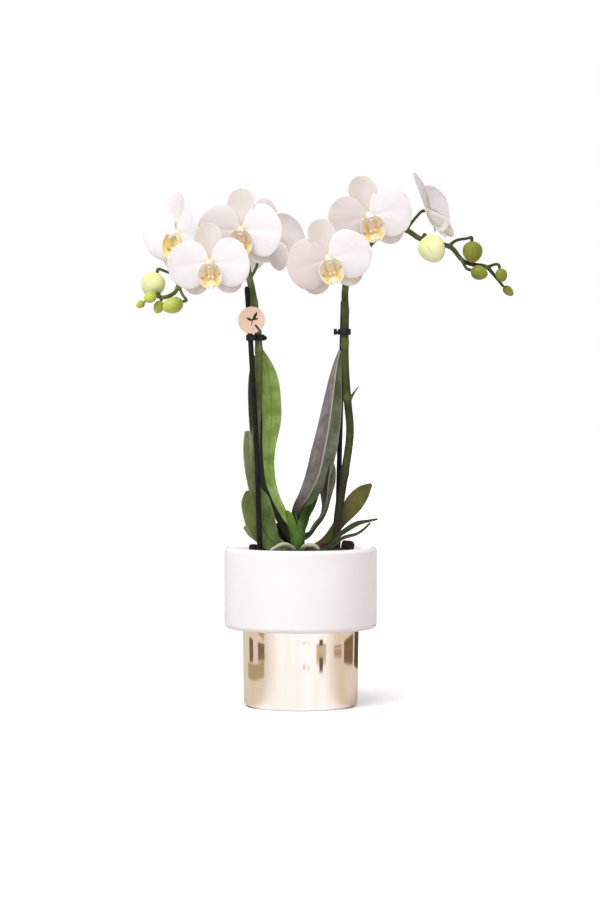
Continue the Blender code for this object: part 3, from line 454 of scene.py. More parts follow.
def make_bark_skin(name, dark, light, scale):
    made, tree, shader = finish(name, Roughness=0.9, Specular_IOR_Level=0.25)
    plates = effect(tree, MOTTLE, Scale=scale, Low=0.35, High=0.65)
    grit = effect(tree, MOTTLE, Scale=scale * 6, Low=0.35, High=0.65)
    colour = blend(tree, plates, dark, light)
    colour = blend(tree, maths(tree, "MULTIPLY", grit, 0.4), colour, (0.02, 0.012, 0.01))
    plug(tree, colour, shader.inputs["Base Color"])
    height = maths(tree, "ADD", plates, maths(tree, "MULTIPLY", grit, 0.4))
    plug(tree, bump(tree, height, 0.8, 0.001), shader.inputs["Normal"])
    return made


def make_root_skin():
    """Silver-green aerial root with dull green where it is damp."""
    made, tree, shader = finish("root_skin", Roughness=0.8)
    cloud = effect(tree, MOTTLE, Scale=90.0, Low=0.35, High=0.65)
    grit = effect(tree, MOTTLE, Scale=700.0, Low=0.35, High=0.65)
    colour = blend(tree, cloud, (0.54, 0.54, 0.40), (0.36, 0.40, 0.22))
    colour = blend(tree, maths(tree, "MULTIPLY", grit, 0.3), colour, (0.62, 0.62, 0.50))
    plug(tree, colour, shader.inputs["Base Color"])
    plug(tree, bump(tree, grit, 0.3, 0.0004), shader.inputs["Normal"])
    return made


def make_plastic(name, colour, worn, roughness, alpha=1.0):
    made, tree, shader = finish(name, Alpha=alpha, Specular_IOR_Level=0.16)
    cloud = effect(tree, MOTTLE, Scale=200.0, Low=0.40, High=0.70)
    fine = effect(tree, MOTTLE, Scale=1500.0, Low=0.35, High=0.65)
    plug(tree, blend(tree, cloud, colour, worn), shader.inputs["Base Color"])
    plug(tree, spread(tree, cloud, 0.0, 1.0, roughness, roughness + 0.15), shader.inputs["Roughness"])
    plug(tree, bump(tree, fine, 0.1, 0.0002), shader.inputs["Normal"])
    return made


def make_veneer():
    """Peach birch veneer with long faint grain."""
    made, tree, shader = finish("veneer", Roughness=0.65)
    place = node(tree, "TexCoord").outputs["Object"]
    grain = node(tree, "Mapping", {"Vector": place, "Scale": (0.12, 1.0, 1.0), "Rotation": (0.0, 0.5, 0.0)}).outputs[0]
    lines = node(tree, "TexNoise", {"Vector": grain, "Scale": 900.0, "Detail": 3.0}).outputs[0]
    broad = effect(tree, MOTTLE, Scale=60.0, Low=0.3, High=0.7)
    colour = blend(tree, broad, (0.86, 0.62, 0.46), (0.90, 0.68, 0.53))
    colour = blend(tree, spread(tree, lines, 0.45, 0.75, 0.0, 0.35), colour, (0.70, 0.44, 0.29))
    plug(tree, colour, shader.inputs["Base Color"])
    plug(tree, bump(tree, lines, 0.15, 0.0002), shader.inputs["Normal"])
    return made


WHITE_GLAZE = make_white_glaze("white_glaze", 0.0)
# The inner wall's glaze glows a little: painted light on the shaded inner wall below the rim.
GLAZE_INSIDE_PAINTED_GLOW = make_white_glaze("glaze_inside_painted_glow", 0.45)
GOLD_LUSTRE = make_gold_lustre()
PETAL_WHITE = make_petal_white()
# Sepals: a darker, pinker white than the petals, partly their own tint and partly painted shade; the last colour is the
# painted shade laid on by the tone mark.
SEPAL_WHITE = make_petal_white("sepal_white", (0.85, 0.79, 0.77), (0.76, 0.70, 0.44), (0.69, 0.59, 0.50))
COLUMN_WHITE = make_petal_white("column_white", (0.82, 0.68, 0.56), (0.84, 0.70, 0.58))
LIP_SKIN = make_lip_skin()
LEAF_GREEN = make_leaf_skin(
    "leaf_green", (0.15, 0.25, 0.035), (0.35, 0.46, 0.13), (0.38, 0.42, 0.22), (0.12, 0.21, 0.035), 0.40, 0.9)
# Very dark green: the leaf's own green made darker as painted shade, for leaves that sit in shadow; the skin called
# deep in the leaf table is this finish.
LEAF_DEEP_PAINTED_SHADE = make_leaf_skin(
    "leaf_deep_painted_shade", (0.010, 0.020, 0.007), (0.028, 0.045, 0.016), (0.09, 0.11, 0.05), (0.04, 0.06, 0.02), 0.40, 0.3)
LEAF_DARK = make_leaf_skin(
    "leaf_dark", (0.022, 0.050, 0.014), (0.06, 0.115, 0.03), (0.20, 0.24, 0.12), (0.05, 0.09, 0.02), 0.40, 0.5)
# Pale grey-green over the leaf's dark green: a painted sheen, the waxy upper face's reflection laid into its colour;
# darker green towards the base.
LEAF_SILVER_PAINTED_SHEEN = make_leaf_skin(
    "leaf_silver_painted_sheen", (0.14, 0.175, 0.10), (0.32, 0.35, 0.25), (0.42, 0.44, 0.33), (0.04, 0.06, 0.025), 0.40, 0.5,
    (0.035, 0.075, 0.018))
LEAF_PALE = make_leaf_skin(
    "leaf_pale", (0.20, 0.25, 0.10), (0.36, 0.41, 0.22), (0.50, 0.54, 0.36), (0.12, 0.18, 0.05), 0.42, 0.6)
LEAF_OLIVE = make_leaf_skin(
    "leaf_olive", (0.085, 0.085, 0.018), (0.16, 0.145, 0.038), (0.24, 0.17, 0.09), (0.12, 0.12, 0.03), 0.42, 0.4)
LEAF_DULL = make_leaf_skin(
    "leaf_dull", (0.058, 0.094, 0.019), (0.14, 0.185, 0.05), (0.26, 0.30, 0.13), (0.05, 0.045, 0.015), 0.42, 0.5)
LEAF_UNDER = make_leaf_skin(
    "leaf_underside", (0.105, 0.082, 0.086), (0.23, 0.205, 0.205), (0.36, 0.36, 0.27), (0.06, 0.05, 0.05), 0.42, 0.25,
    (0.011, 0.008, 0.010))
LEAF_BROWN = make_leaf_skin(
    "leaf_brown", (0.050, 0.034, 0.030), (0.115, 0.088, 0.080), (0.30, 0.33, 0.24), (0.05, 0.04, 0.035), 0.42, 0.2)
STEM_LEFT = make_stem_skin("stem_left", (0.055, 0.085, 0.020), (0.14, 0.18, 0.055), (0.30, 0.32, 0.10))
STEM_RIGHT = make_stem_skin("stem_right", (0.022, 0.034, 0.006), (0.068, 0.086, 0.018), (0.26, 0.28, 0.07), 0.172)
CROWN_SKIN = make_stem_skin("crown_skin", (0.032, 0.085, 0.010), (0.125, 0.235, 0.03), (0.30, 0.40, 0.10))
RIPE_BUD = make_bud_skin("ripe_bud", (0.80, 0.86, 0.36), (0.93, 0.94, 0.62), (0.46, 0.52, 0.16))
BRIGHT_BUD = make_bud_skin("bright_bud", (0.38, 0.50, 0.06), (0.62, 0.68, 0.14), (0.28, 0.30, 0.04))
OLIVE_BUD = make_bud_skin("olive_bud", (0.20, 0.25, 0.02), (0.30, 0.31, 0.035), (0.11, 0.10, 0.015))
BARK_SKIN = make_bark_skin("bark_skin", (0.030, 0.013, 0.010), (0.095, 0.042, 0.030), 160.0)
BARK_DARK = make_bark_skin("bark_dark", (0.02, 0.013, 0.011), (0.07, 0.040, 0.030), 220.0)
ROOT_SKIN = make_root_skin()
STAKE_BROWN = make_plastic("stake_brown", (0.006, 0.005, 0.005), (0.020, 0.016, 0.015), 0.55)
CLIP_BLACK = make_plastic("clip_black", (0.012, 0.012, 0.018), (0.025, 0.025, 0.035), 0.28)
GROW_POT_SMOKE = make_plastic("grow_pot_smoke", (0.10, 0.075, 0.06), (0.16, 0.12, 0.10), 0.25)
VENEER = make_veneer()
PRINT_DARK = make_plastic("print_dark", (0.035, 0.022, 0.018), (0.05, 0.035, 0.03), 0.6)

# =============================================================================================
# Cover pot and grow pot
# =============================================================================================


def arc(radius_at, height_at, radius, start, end, steps):
    angles = np.radians(np.linspace(start, end, steps + 1))
    return [(radius_at + radius * math.cos(a), height_at + radius * math.sin(a)) for a in angles]


def turned(profile, steps):
    """A closed shape of revolution from a profile of (radius, height) that starts and ends on the axis."""
    angles = np.linspace(0, 2 * math.pi, steps, endpoint=False)
    rows = np.array([[(r * math.cos(a), r * math.sin(a), z) for a in angles] for r, z in profile])
    return grid_shape(rows[:, ::-1], closed=True)


def make_cover_pot():
    shelf = DRUM_BOTTOM + POT_WALL
    tiny = 0.4 * MM
    outside = [
        (tiny, POT_FLOOR), (FOOT_BASE_RADIUS - POT_WALL - 3 * MM, POT_FLOOR),
        *arc(FOOT_BASE_RADIUS - POT_WALL - 3 * MM, POT_FLOOR + 3 * MM, 3 * MM, -90, 0, 5)[1:],
        (FOOT_TOP_RADIUS - POT_WALL, shelf - 1 * MM),
        *arc(FOOT_TOP_RADIUS - POT_WALL + 1 * MM, shelf - 1 * MM, 1 * MM, 180, 90, 3)[1:],
        *arc(DRUM_RADIUS - POT_WALL - 3 * MM, shelf + 3 * MM, 3 * MM, -90, 0, 5),
        (DRUM_RADIUS - POT_WALL, RIM_HEIGHT - 24 * MM),
        *arc(DRUM_RADIUS - 4 * MM, RIM_HEIGHT - 3.2 * MM, 3.2 * MM, 180, 90, 7),
        *arc(DRUM_RADIUS - 3.2 * MM, RIM_HEIGHT - 3.2 * MM, 3.2 * MM, 90, 0, 9),
        *arc(DRUM_RADIUS - 4 * MM, DRUM_BOTTOM + 4 * MM, 4 * MM, 0, -90, 8),
        (FOOT_TOP_RADIUS + 0.8 * MM, DRUM_BOTTOM),
        *arc(FOOT_TOP_RADIUS + 0.8 * MM, DRUM_BOTTOM - 0.8 * MM, 0.8 * MM, 90, 180, 3)[1:],
    ]
    lustre = [
        (FOOT_TOP_RADIUS - 0.4 * MM, DRUM_BOTTOM - 12 * MM),
        (FOOT_BASE_RADIUS + 0.3 * MM, 10 * MM),
        *arc(FOOT_BASE_RADIUS - 4 * MM, 4 * MM, 4 * MM, 0, -90, 8),
        (tiny, 0.0),
    ]
    shape = turned(outside + lustre, 128)
    pot = piece("cover_pot_glazed", shape, [WHITE_GLAZE, GOLD_LUSTRE, GLAZE_INSIDE_PAINTED_GLOW], ["cover_pot"])
    for face in pot.data.polygons:
        x, y, z = face.center
        outer = math.hypot(x, y) > FOOT_BASE_RADIUS - 1.5 * MM or z < 4 * MM
        gold = z < DRUM_BOTTOM - 0.9 * MM and outer and abs(face.normal.z) < 0.999
        # Faces of the inner wall above the drum's floor take the glowing glaze: painted light where the wall sits in
        # shade.
        glowing_inside = math.hypot(x, y) < DRUM_RADIUS - 3.6 * MM and z > DRUM_BOTTOM + 8 * MM
        face.material_index = 1 if gold else 2 if glowing_inside else 0
    return pot


def make_grow_pot():
    lip = 1.1 * MM
    wall = 1.0 * MM
    top = grow_high.z
    base = grow_low.z
    rim = grow_high.x - lip
    foot = 33 * MM
    profile = [
        (0.4 * MM, base + wall), (foot - wall, base + wall), (rim - wall, top - 0.4 * MM),
        *arc(rim - wall + 0.6 * MM, top - 0.6 * MM, 0.6 * MM, 180, 90, 3),
        *arc(rim + lip - 0.6 * MM, top - 0.6 * MM, 0.6 * MM, 90, 0, 3),
        (rim + lip, top - 2 * lip), (rim, top - 2 * lip), (foot, base), (0.4 * MM, base),
    ]
    piece("grow_pot_thin", turned(profile, 96), [GROW_POT_SMOKE], ["grow_pot"], sharp=40)


# =============================================================================================
# Bark
# =============================================================================================


def lumpy(x, y, seed, scale):
    return noise.noise(Vector((x * scale, y * scale, seed)))


def bark_height(x, y):
    """The top of the bark: low at the wall, higher round the stems on the right."""
    edge = bark_high.z - 2.4 * MM
    reach = math.hypot(x, y) / 0.040
    heap = 8 * MM * math.exp(-((x - 0.025) ** 2 + (y + 0.004) ** 2) / 0.00016)
    mound = 3 * MM * max(0.0, 1 - reach**2)
    return edge + mound + heap * max(0.0, 1 - reach**6) + 1.6 * MM * lumpy(x, y, 3.0, 260) + 0.8 * MM * lumpy(x, y, 9.0, 700)


def make_bark_fill():
    steps, rings = 90, 34
    rim = grow_high.x - 2.6 * MM
    foot_radius = 31.4 * MM
    rows = [[(r * math.cos(a), r * math.sin(a), z) for a in np.linspace(0, 2 * math.pi, steps, endpoint=False)]
            for r, z in ((0.5 * MM, bark_low.z), (foot_radius, bark_low.z), (rim - 0.4 * MM, bark_high.z - 8 * MM))]
    for ring in range(rings):
        r = rim * (1 - ring / rings) + 0.3 * MM
        row = []
        for a in np.linspace(0, 2 * math.pi, steps, endpoint=False):
            x, y = r * math.cos(a), r * math.sin(a)
            row.append((x, y, bark_height(x, y)))
        rows.append(row)
    piece("bark_bed", grid_shape(np.array(rows), closed=True), [BARK_SKIN], ["bark_fill"])


def chip_shape(size, seed):
    """One broken bark piece: a block with chipped sides and layered ends."""
    shape = bmesh.new()
    bmesh.ops.create_cube(shape, size=1.0)
    bmesh.ops.subdivide_edges(shape, edges=shape.edges, cuts=4, use_grid_fill=True)
    points = []
    for vert in shape.verts:
        p = vert.co.copy()
        rounded = p.normalized() * 0.62
        p = p.lerp(rounded, 0.35)
        p += 0.16 * noise.noise_vector(p * 2.1 + Vector((seed, 0, 0))) + 0.06 * noise.noise_vector(p * 6 + Vector((0, seed, 0)))
        points.append([p.x * size[0], p.y * size[1], p.z * size[2]])
    faces = [tuple(v.index for v in f.verts) for f in shape.faces]
    shape.free()
    return np.array(points), faces, {}


def make_bark_chips():
    draw = random.Random(11)
    chips = []
    for index in range(95):
        angle, r = draw.uniform(0, 2 * math.pi), 0.039 * math.sqrt(draw.uniform(0.02, 1))
        if index > 60:
            angle, r = draw.gauss(-0.15, 0.55), draw.uniform(0.012, 0.038)
        x, y = r * math.cos(angle), r * math.sin(angle)
        size = [draw.uniform(4, 10) * MM, draw.uniform(3, 6) * MM, draw.uniform(1.5, 4) * MM]
        turn = Matrix.Rotation(draw.uniform(0, 6.3), 4, "Z") @ Matrix.Rotation(draw.gauss(0, 0.45), 4, "X")
        z = bark_height(x, y) + draw.uniform(-0.6, 1.4) * MM
        chips.append(moved(chip_shape(size, index * 1.7), Matrix.Translation((x, y, z)) @ turn))
    piece("bark_crumble", joined(chips), [BARK_SKIN], [], sharp=50)
    for index, size_up in ((1, 1.05), (2, 1.1), (3, 1.05)):
        low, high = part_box(f"bark_chip_{index}")
        size = [c * size_up for c in (high - low)]
        shape = moved(chip_shape(size, 40.0 + index), Matrix.Translation((low + high) / 2))
        piece(f"bark_piece_{index}", shape, [BARK_DARK], [f"bark_chip_{index}"], levels=1, sharp=50)


# =============================================================================================
# Stakes, clips and tag
# =============================================================================================

STAKES = {
    "left": [(-30.4, -16, 122), (-31.2, -15.3, 153), (-32, -14.6, 182), (-34.3, -13.7, 227),
             (-36.9, -12.8, 271.3), (-39.6, -12, 311)],
    "right": [(27.3, 12, 120), (31.5, 4, 301)],
}
STAKE_RADIUS = 1.95 * MM


def stake_at(side, height):
    """The middle of a stake at a height; below its lowest point it runs on straight."""
    points = STAKES[side]
    index = max([k for k in range(len(points) - 1) if points[k][2] * MM <= height], default=0)
    low, high = Vector(points[index]) * MM, Vector(points[index + 1]) * MM
    return low + (high - low) * (height - low.z) / (high.z - low.z)


def make_stakes():
    for side in STAKES:
        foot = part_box(f"stake_{side}")[0].z
        top = STAKES[side][-1][2] * MM
        heights = [foot, foot + 6 * MM, *np.linspace(foot + 20 * MM, top - 2 * MM, 24), top - 0.6 * MM, top]
        radii = [0.5 * MM, STAKE_RADIUS, *[STAKE_RADIUS] * 24, STAKE_RADIUS * 0.8, 0.4 * MM]
        path = [stake_at(side, z) for z in heights]
        piece(f"stake_{side}_rod", tube(path, radii, 20), [STAKE_BROWN], [f"stake_{side}"])


def rounded_box(size, edge):
    shape = bmesh.new()
    bmesh.ops.create_cube(shape, size=1.0)
    for vert in shape.verts:
        vert.co = Vector(c * s for c, s in zip(vert.co, size))
    bmesh.ops.bevel(shape, geom=shape.edges, offset=edge, segments=3, affect="EDGES", profile=0.5)
    points = np.array([v.co[:] for v in shape.verts])
    faces = [tuple(v.index for v in f.verts) for f in shape.faces]
    shape.free()
    return points, faces, {}


def band(centre, inner, wall, height, steps=36, opening=0.0, facing=0.0):
    """A flat ring round an upright rod, with soft edges; an opening leaves a gap that faces a given way."""
    section = []
    edge = min(wall, height) * 0.3
    for cx, cz, start in ((1, 1, 0), (-1, 1, 90), (-1, -1, 180), (1, -1, 270)):
        for a in np.radians(np.linspace(start, start + 90, 4)):
            section.append((inner + wall / 2 + cx * (wall / 2 - edge) + edge * math.cos(a),
                            cz * (height / 2 - edge) + edge * math.sin(a)))
    turn = np.linspace(opening / 2, 2 * math.pi - opening / 2, steps) + facing
    rows = [[(centre.x + r * math.cos(a), centre.y + r * math.sin(a), centre.z + z) for r, z in section] for a in turn]
    return grid_shape(np.array(rows), closed=True)


def make_clip(side, height, stem, stem_radius, tab_x):
    """A snap clip: an open ring on the stake, an open ring on the stem, a bridge and a ribbed finger tab."""
    post = stake_at(side, height)
    stem = Vector(stem)
    wall = 1.2 * MM
    tall = 4.6 * MM
    between = math.atan2(stem.y - post.y, stem.x - post.x)
    shapes = [
        band(post, STAKE_RADIUS + 0.1 * MM, wall, tall, opening=0.02, facing=between),
        band(stem, stem_radius + 0.1 * MM, wall, tall, opening=0.7, facing=between + 1.9),
    ]
    middle = (post + stem) / 2
    gap = (stem - post).length - STAKE_RADIUS - stem_radius - wall * 0.6
    bridge = rounded_box((max(gap, 1.5 * MM), 1.6 * MM, tall * 0.8), 0.3 * MM)
    offset = (STAKE_RADIUS - stem_radius) / 2
    centre = middle + (stem - post).normalized() * offset
    shapes.append(moved(bridge, Matrix.Translation(centre) @ Matrix.Rotation(between, 4, "Z")))
    way = 1 if tab_x > stem.x else -1
    root = stem.x + way * (stem_radius + 0.8 * MM)
    neck = rounded_box((abs(tab_x - root), 1.0 * MM, 1.6 * MM), 0.3 * MM)
    shapes.append(moved(neck, Matrix.Translation(((root + tab_x) / 2, stem.y, height))))
    knob_x = root + way * 1.4 * MM
    shapes.append(ball((knob_x, stem.y - 0.2 * MM, height - 0.4 * MM), (1.3 * MM, 1.3 * MM, 1.6 * MM)))
    block = rounded_box((abs(tab_x - root) * 0.5, 1.8 * MM, tall), 0.4 * MM)
    block_x = tab_x - way * abs(tab_x - root) * 0.25
    shapes.append(moved(block, Matrix.Translation((block_x, stem.y, height))))
    for step in (-1, 0, 1):
        rib = rounded_box((abs(tab_x - root) * 0.5, 2.4 * MM, 0.6 * MM), 0.2 * MM)
        shapes.append(moved(rib, Matrix.Translation((block_x, stem.y, height + step * tall * 0.28))))
    piece(f"snap_clip_{side}", joined(shapes), [CLIP_BLACK], [f"clip_{side}"], sharp=45)


def flat_plate(outline, thickness):
    """A plate in the XZ plane whose front is at -Y, from a closed outline of (x, z)."""
    outline = np.array(outline)
    front = np.column_stack([outline[:, 0], np.full(len(outline), -thickness / 2), outline[:, 1]])
    back = front + np.array([0, thickness, 0])
    edge = thickness * 0.25
    shapes = []
    centre = outline.mean(axis=0)
    inward = unit(centre - outline) * edge
    inner = outline + inward
    front_in = np.column_stack([inner[:, 0], np.full(len(outline), -thickness / 2), inner[:, 1]])
    back_in = front_in + np.array([0, thickness, 0])
    front_edge = front + np.array([0, edge, 0])
    back_edge = back - np.array([0, edge, 0])
    grid = np.array([front_in, front_edge, back_edge, back_in])
    shapes.append(grid_shape(grid, closed=True))
    return shapes[0]


def make_tag():
    """A round veneer tag, slit from its edge so that it slides onto the stake, with a plain leaf motif."""
    centre = (tag_low + tag_high) / 2
    radius = 10 * MM
    slit = math.radians(-52)
    half = math.radians(5)
    outline = [(radius * math.cos(a), radius * math.sin(a)) for a in np.linspace(slit + half, slit + 2 * math.pi - half, 72)]
    deep, wide = 0.52 * radius, 0.085 * radius
    way, side = Vector((math.cos(slit), math.sin(slit))), Vector((-math.sin(slit), math.cos(slit)))
    for step in np.linspace(-90, 90, 7):
        p = way * deep + side * wide * math.sin(math.radians(step)) - way * wide * math.cos(math.radians(step))
        outline.append((p.x, p.y))
    place = Matrix.Translation(centre) @ Matrix.Rotation(math.radians(14), 4, Vector((1, 0, 1)))
    disc = piece("tag_disc", moved(flat_plate(outline, 0.9 * MM), place), [VENEER], ["plant_tag"], sharp=40)
    motif = []
    shares = np.linspace(0, 1, 15)
    for angle, length, width, start in ((28, 7.0, 2.2, (0.2, -1.2)), (-62, 5.2, 1.8, (0.0, -1.6)), (88, 5.0, 1.6, (-0.6, -0.4))):
        turn = math.radians(90 - angle)
        along, over = np.array((math.cos(turn), math.sin(turn))), np.array((-math.sin(turn), math.cos(turn)))
        swell = width * MM / 2 * np.sin(np.pi * (0.04 + 0.96 * shares)) ** 0.8
        spine = np.array(start) * MM + np.outer(shares * length * MM, along)
        one = np.vstack([spine + swell[:, None] * over, (spine - swell[:, None] * over)[::-1]])
        motif.append(flat_plate(one, 0.12 * MM))
    stalk = [(-0.25, -1.0), (0.25, -1.0), (-0.6, -5.2), (-1.1, -5.0)]
    motif.append(flat_plate([(x * MM, z * MM) for x, z in stalk], 0.12 * MM))
    lift = Matrix.Translation((0.6 * MM, -0.5 * MM, 1.2 * MM))
    piece("tag_motif", moved(joined(motif), place @ lift), [PRINT_DARK], [])
    return disc


# =============================================================================================
# Leaves, crown and roots
# =============================================================================================

# Midrib from the crown outwards with the half width at every point, in millimetres, the way the upper
# face looks at the base and at the tip, and how far the two halves fold up.
LEAVES = {
    "leaf_left_1": dict(
        rib=[(-8.2, -1, 136.2, 2.1), (-10.8, -1.5, 140, 2.5), (-14.3, -1.6, 146.8, 2.9),
             (-18.4, -1.4, 155.2, 3.2), (-22, -0.8, 166.4, 3.8), (-23.7, 0, 181.5, 4.2),
             (-23.2, 0.8, 196.6, 5.3), (-21.6, 1.4, 211.7, 6.9), (-21.9, 1.8, 226.8, 7.2), (-23, 2, 242, 6.4),
             (-25.8, 2.2, 254.5, 4), (-28.4, 2.3, 264, 0.8)],
        base_faces=(0.35, -1, 0), tip_faces=(0.15, -1, 0), fold=0.22, skin="green"),
    "leaf_left_2": dict(
        rib=[(-9.5, 5, 126.2, 2.6), (-13.8, 9, 136, 3.6), (-17.6, 12.5, 144.5, 4.4), (-21.5, 15, 153.5, 5),
             (-25.8, 16.6, 164.5, 5.4), (-29.5, 17.2, 179, 5.4), (-32, 17, 199, 5.8), (-33.4, 15.8, 224, 6),
             (-34, 14.2, 244, 4.8), (-34.3, 12.8, 260, 1)],
        base_faces=(0.5, 1, 0.2), tip_faces=(0.2, 1, 0), fold=0.25, skin="deep", under="deep"),
    "leaf_left_3": dict(
        rib=[(-10.5, 5.5, 117.5, 2.5), (-20, 10, 124.5, 3), (-28, 11.8, 140, 3.8), (-33.5, 12.2, 156, 4.4),
             (-37, 11.8, 174, 4.8), (-38.8, 11, 191, 4.5), (-39.4, 10.5, 204, 2.2)],
        base_faces=(0.3, -1, 0.3), tip_faces=(0.4, -1, 0), fold=0.2, skin="pale"),
    "leaf_left_4": dict(
        rib=[(-12.2, -7.6, 117.6, 3), (-17, -9, 119.8, 5.2), (-22.2, -10, 123.6, 8),
             (-26.6, -10.2, 129.8, 10), (-29.8, -10, 137.5, 11.2), (-32.2, -9.6, 146, 11.2),
             (-34, -9, 154, 10.2), (-35.4, -8.6, 161, 6)],
        base_faces=(0.2, -1, 0.3), tip_faces=(0, -1, 0.1), fold=0.1, skin="dull", torn=1.0),
    "leaf_left_5": dict(
        rib=[(-11.5, -2.5, 116.8, 2), (-20, -4, 119.5, 3.4), (-29, -5, 124.8, 4.2), (-36.5, -5.5, 130, 4),
             (-42, -5.5, 133.5, 1.2)],
        base_faces=(0.1, -1, 0.3), tip_faces=(0.1, -1, 0.2), fold=0.1, skin="pale"),
    "leaf_right_1": dict(
        rib=[(-4, -1, 137, 2.4), (-6.2, -1.4, 144, 3.4), (-4.6, -1.8, 151.3, 7.2), (-1.3, -2, 158.9, 10),
             (3.3, -2.2, 174, 13), (6.7, -2.2, 189, 13.4), (11, -1.8, 204.2, 12.4), (16.6, -1, 226.8, 10),
             (21.6, -0.2, 245, 6.4), (25.2, 0.3, 255.5, 3.8), (29.2, 0.6, 264, 0.7)],
        base_faces=(0.97, -0.25, 0), tip_faces=(0.93, -0.37, 0), fold=1.2, skin="silver_painted_sheen"),
    "leaf_right_2": dict(
        rib=[(5.8, 5.8, 127.8, 2), (10, 8.2, 134.5, 2.4), (14.8, 10, 140.5, 2.6), (16.2, 10.8, 147.5, 4.4),
             (15, 11.4, 155, 7.4), (14.4, 11.6, 162, 9), (15.6, 11.6, 170, 9), (18.2, 11.4, 178.5, 7),
             (21.8, 10.8, 187, 1)],
        base_faces=(0.97, -0.25, 0.1), tip_faces=(0.97, -0.25, 0), fold=1, skin="silver_painted_sheen", under="brown"),
    "leaf_right_3": dict(
        rib=[(0.4, 3.4, 134, 4.6), (1.6, 5, 142.5, 6), (4.6, 6.6, 150, 6.8), (8.6, 7.6, 158.5, 5.6),
             (12.6, 8.2, 166, 3), (14.6, 8.4, 171, 0.8)],
        base_faces=(-0.3, -1, 0.2), tip_faces=(-0.2, -1, 0), fold=0.15, skin="dark"),
    "leaf_right_4": dict(
        rib=[(4.2, 6.2, 117.8, 2), (12, 7.8, 118.5, 2.6), (21, 7.8, 125, 3.3), (30, 7, 137, 4.4),
             (35, 6, 143.7, 5.8), (39.4, 5, 150, 6.8), (43.6, 4, 155.6, 6.4), (47.5, 3, 160, 4.8),
             (52.6, 2, 164.5, 1)],
        base_faces=(0.1, -1, 0.3), tip_faces=(0.2, -1, 0), fold=0.1, skin="olive"),
    "leaf_right_5": dict(
        rib=[(6.6, -1, 116.2, 1.6), (14, -4, 117.4, 1.8), (21.2, -5.8, 120.8, 1.9), (27.8, -5.6, 126.8, 2.1),
             (34.6, -5, 131.6, 2.4), (42.2, -4.4, 135.8, 2.3), (49.7, -3.6, 137.7, 1.3), (57, -3, 139.4, 0.5)],
        base_faces=(-0.4, -0.7, 0.8), tip_faces=(-0.3, -0.6, 1), fold=0.3, skin="deep"),
    "leaf_right_6": dict(
        rib=[(6.2, -9, 116, 1.6), (16, -12.5, 116.8, 1.6), (24, -13.8, 120, 1.7), (29.9, -14, 125, 1.8),
             (35.2, -14.2, 126.8, 1.8), (41.1, -14.2, 128.6, 1.7), (46.4, -14, 132.3, 1.3),
             (51.2, -13.4, 137.2, 0.6)],
        base_faces=(-0.3, -0.6, 1), tip_faces=(-0.7, -0.3, 0.7), fold=0.3, skin="deep"),
}
LEAF_SKINS = {
    "green": LEAF_GREEN, "deep": LEAF_DEEP_PAINTED_SHADE, "dark": LEAF_DARK, "silver_painted_sheen": LEAF_SILVER_PAINTED_SHEEN, "pale": LEAF_PALE, "olive": LEAF_OLIVE,
    "dull": LEAF_DULL, "brown": LEAF_BROWN,
}
CROWN_AXIS = (-2.7, 0.0)


def make_leaf(name, leaf):
    """A channelled leaf with a firm rib, margins that wave a little and, where marked, a torn end."""
    draw = random.Random(name)
    rows, columns = 46, 17
    first = np.array(leaf["rib"][0])
    heart = np.array((*CROWN_AXIS, min(first[2] - 4.0, 127.0), 2.6))
    rib = spline([first + (heart - first) * 0.9, *leaf["rib"]], rows) * MM
    widths, rib = np.maximum(rib[:, 3], 0.3 * MM), rib[:, :3]
    share = np.linspace(0, 1, rows)
    base, tip = np.array(leaf["base_faces"]), np.array(leaf["tip_faces"])
    faces_way = base + (tip - base) * share[:, None]
    grid = blade_grid(rib, widths, faces_way, columns, fold=leaf["fold"])
    along = unit(np.gradient(rib, axis=0))
    up = unit(faces_way - along * np.sum(faces_way * along, axis=1, keepdims=True))
    across = np.linspace(-1, 1, columns)
    phase = [draw.uniform(0, 6.3) for _ in range(4)]
    wave = 0.35 * MM * np.outer(np.sin(share * 13 + phase[0]), np.maximum(across, 0) ** 2)
    wave += 0.35 * MM * np.outer(np.sin(share * 11 + phase[1]), np.minimum(across, 0) ** 2)
    grid = grid + (wave * np.sin(np.pi * share)[:, None])[:, :, None] * up[:, None, :]
    if "torn" in leaf:
        bite = np.array([noise.noise(Vector((c * 2.6, leaf["torn"] * 7, 0))) for c in across])
        bite += 0.5 * np.array([noise.noise(Vector((c * 7, leaf["torn"] * 3, 5))) for c in across])
        near_end = np.maximum(0, share - 0.75)[:, None] / 0.25
        grid = grid + (4 * MM * bite[None, :] * near_end**2)[:, :, None] * along[:, None, :]
    marks = {"along": share[:, None], "across": across[None, :]}
    skins = [LEAF_SKINS[leaf["skin"]], LEAF_SKINS.get(leaf.get("under"), LEAF_UNDER)]
    piece(name.replace("leaf", "leaf_blade"), grid_shape(grid, marks), skins, [name],
          thickness=1.1 * MM, levels=1, under=True)


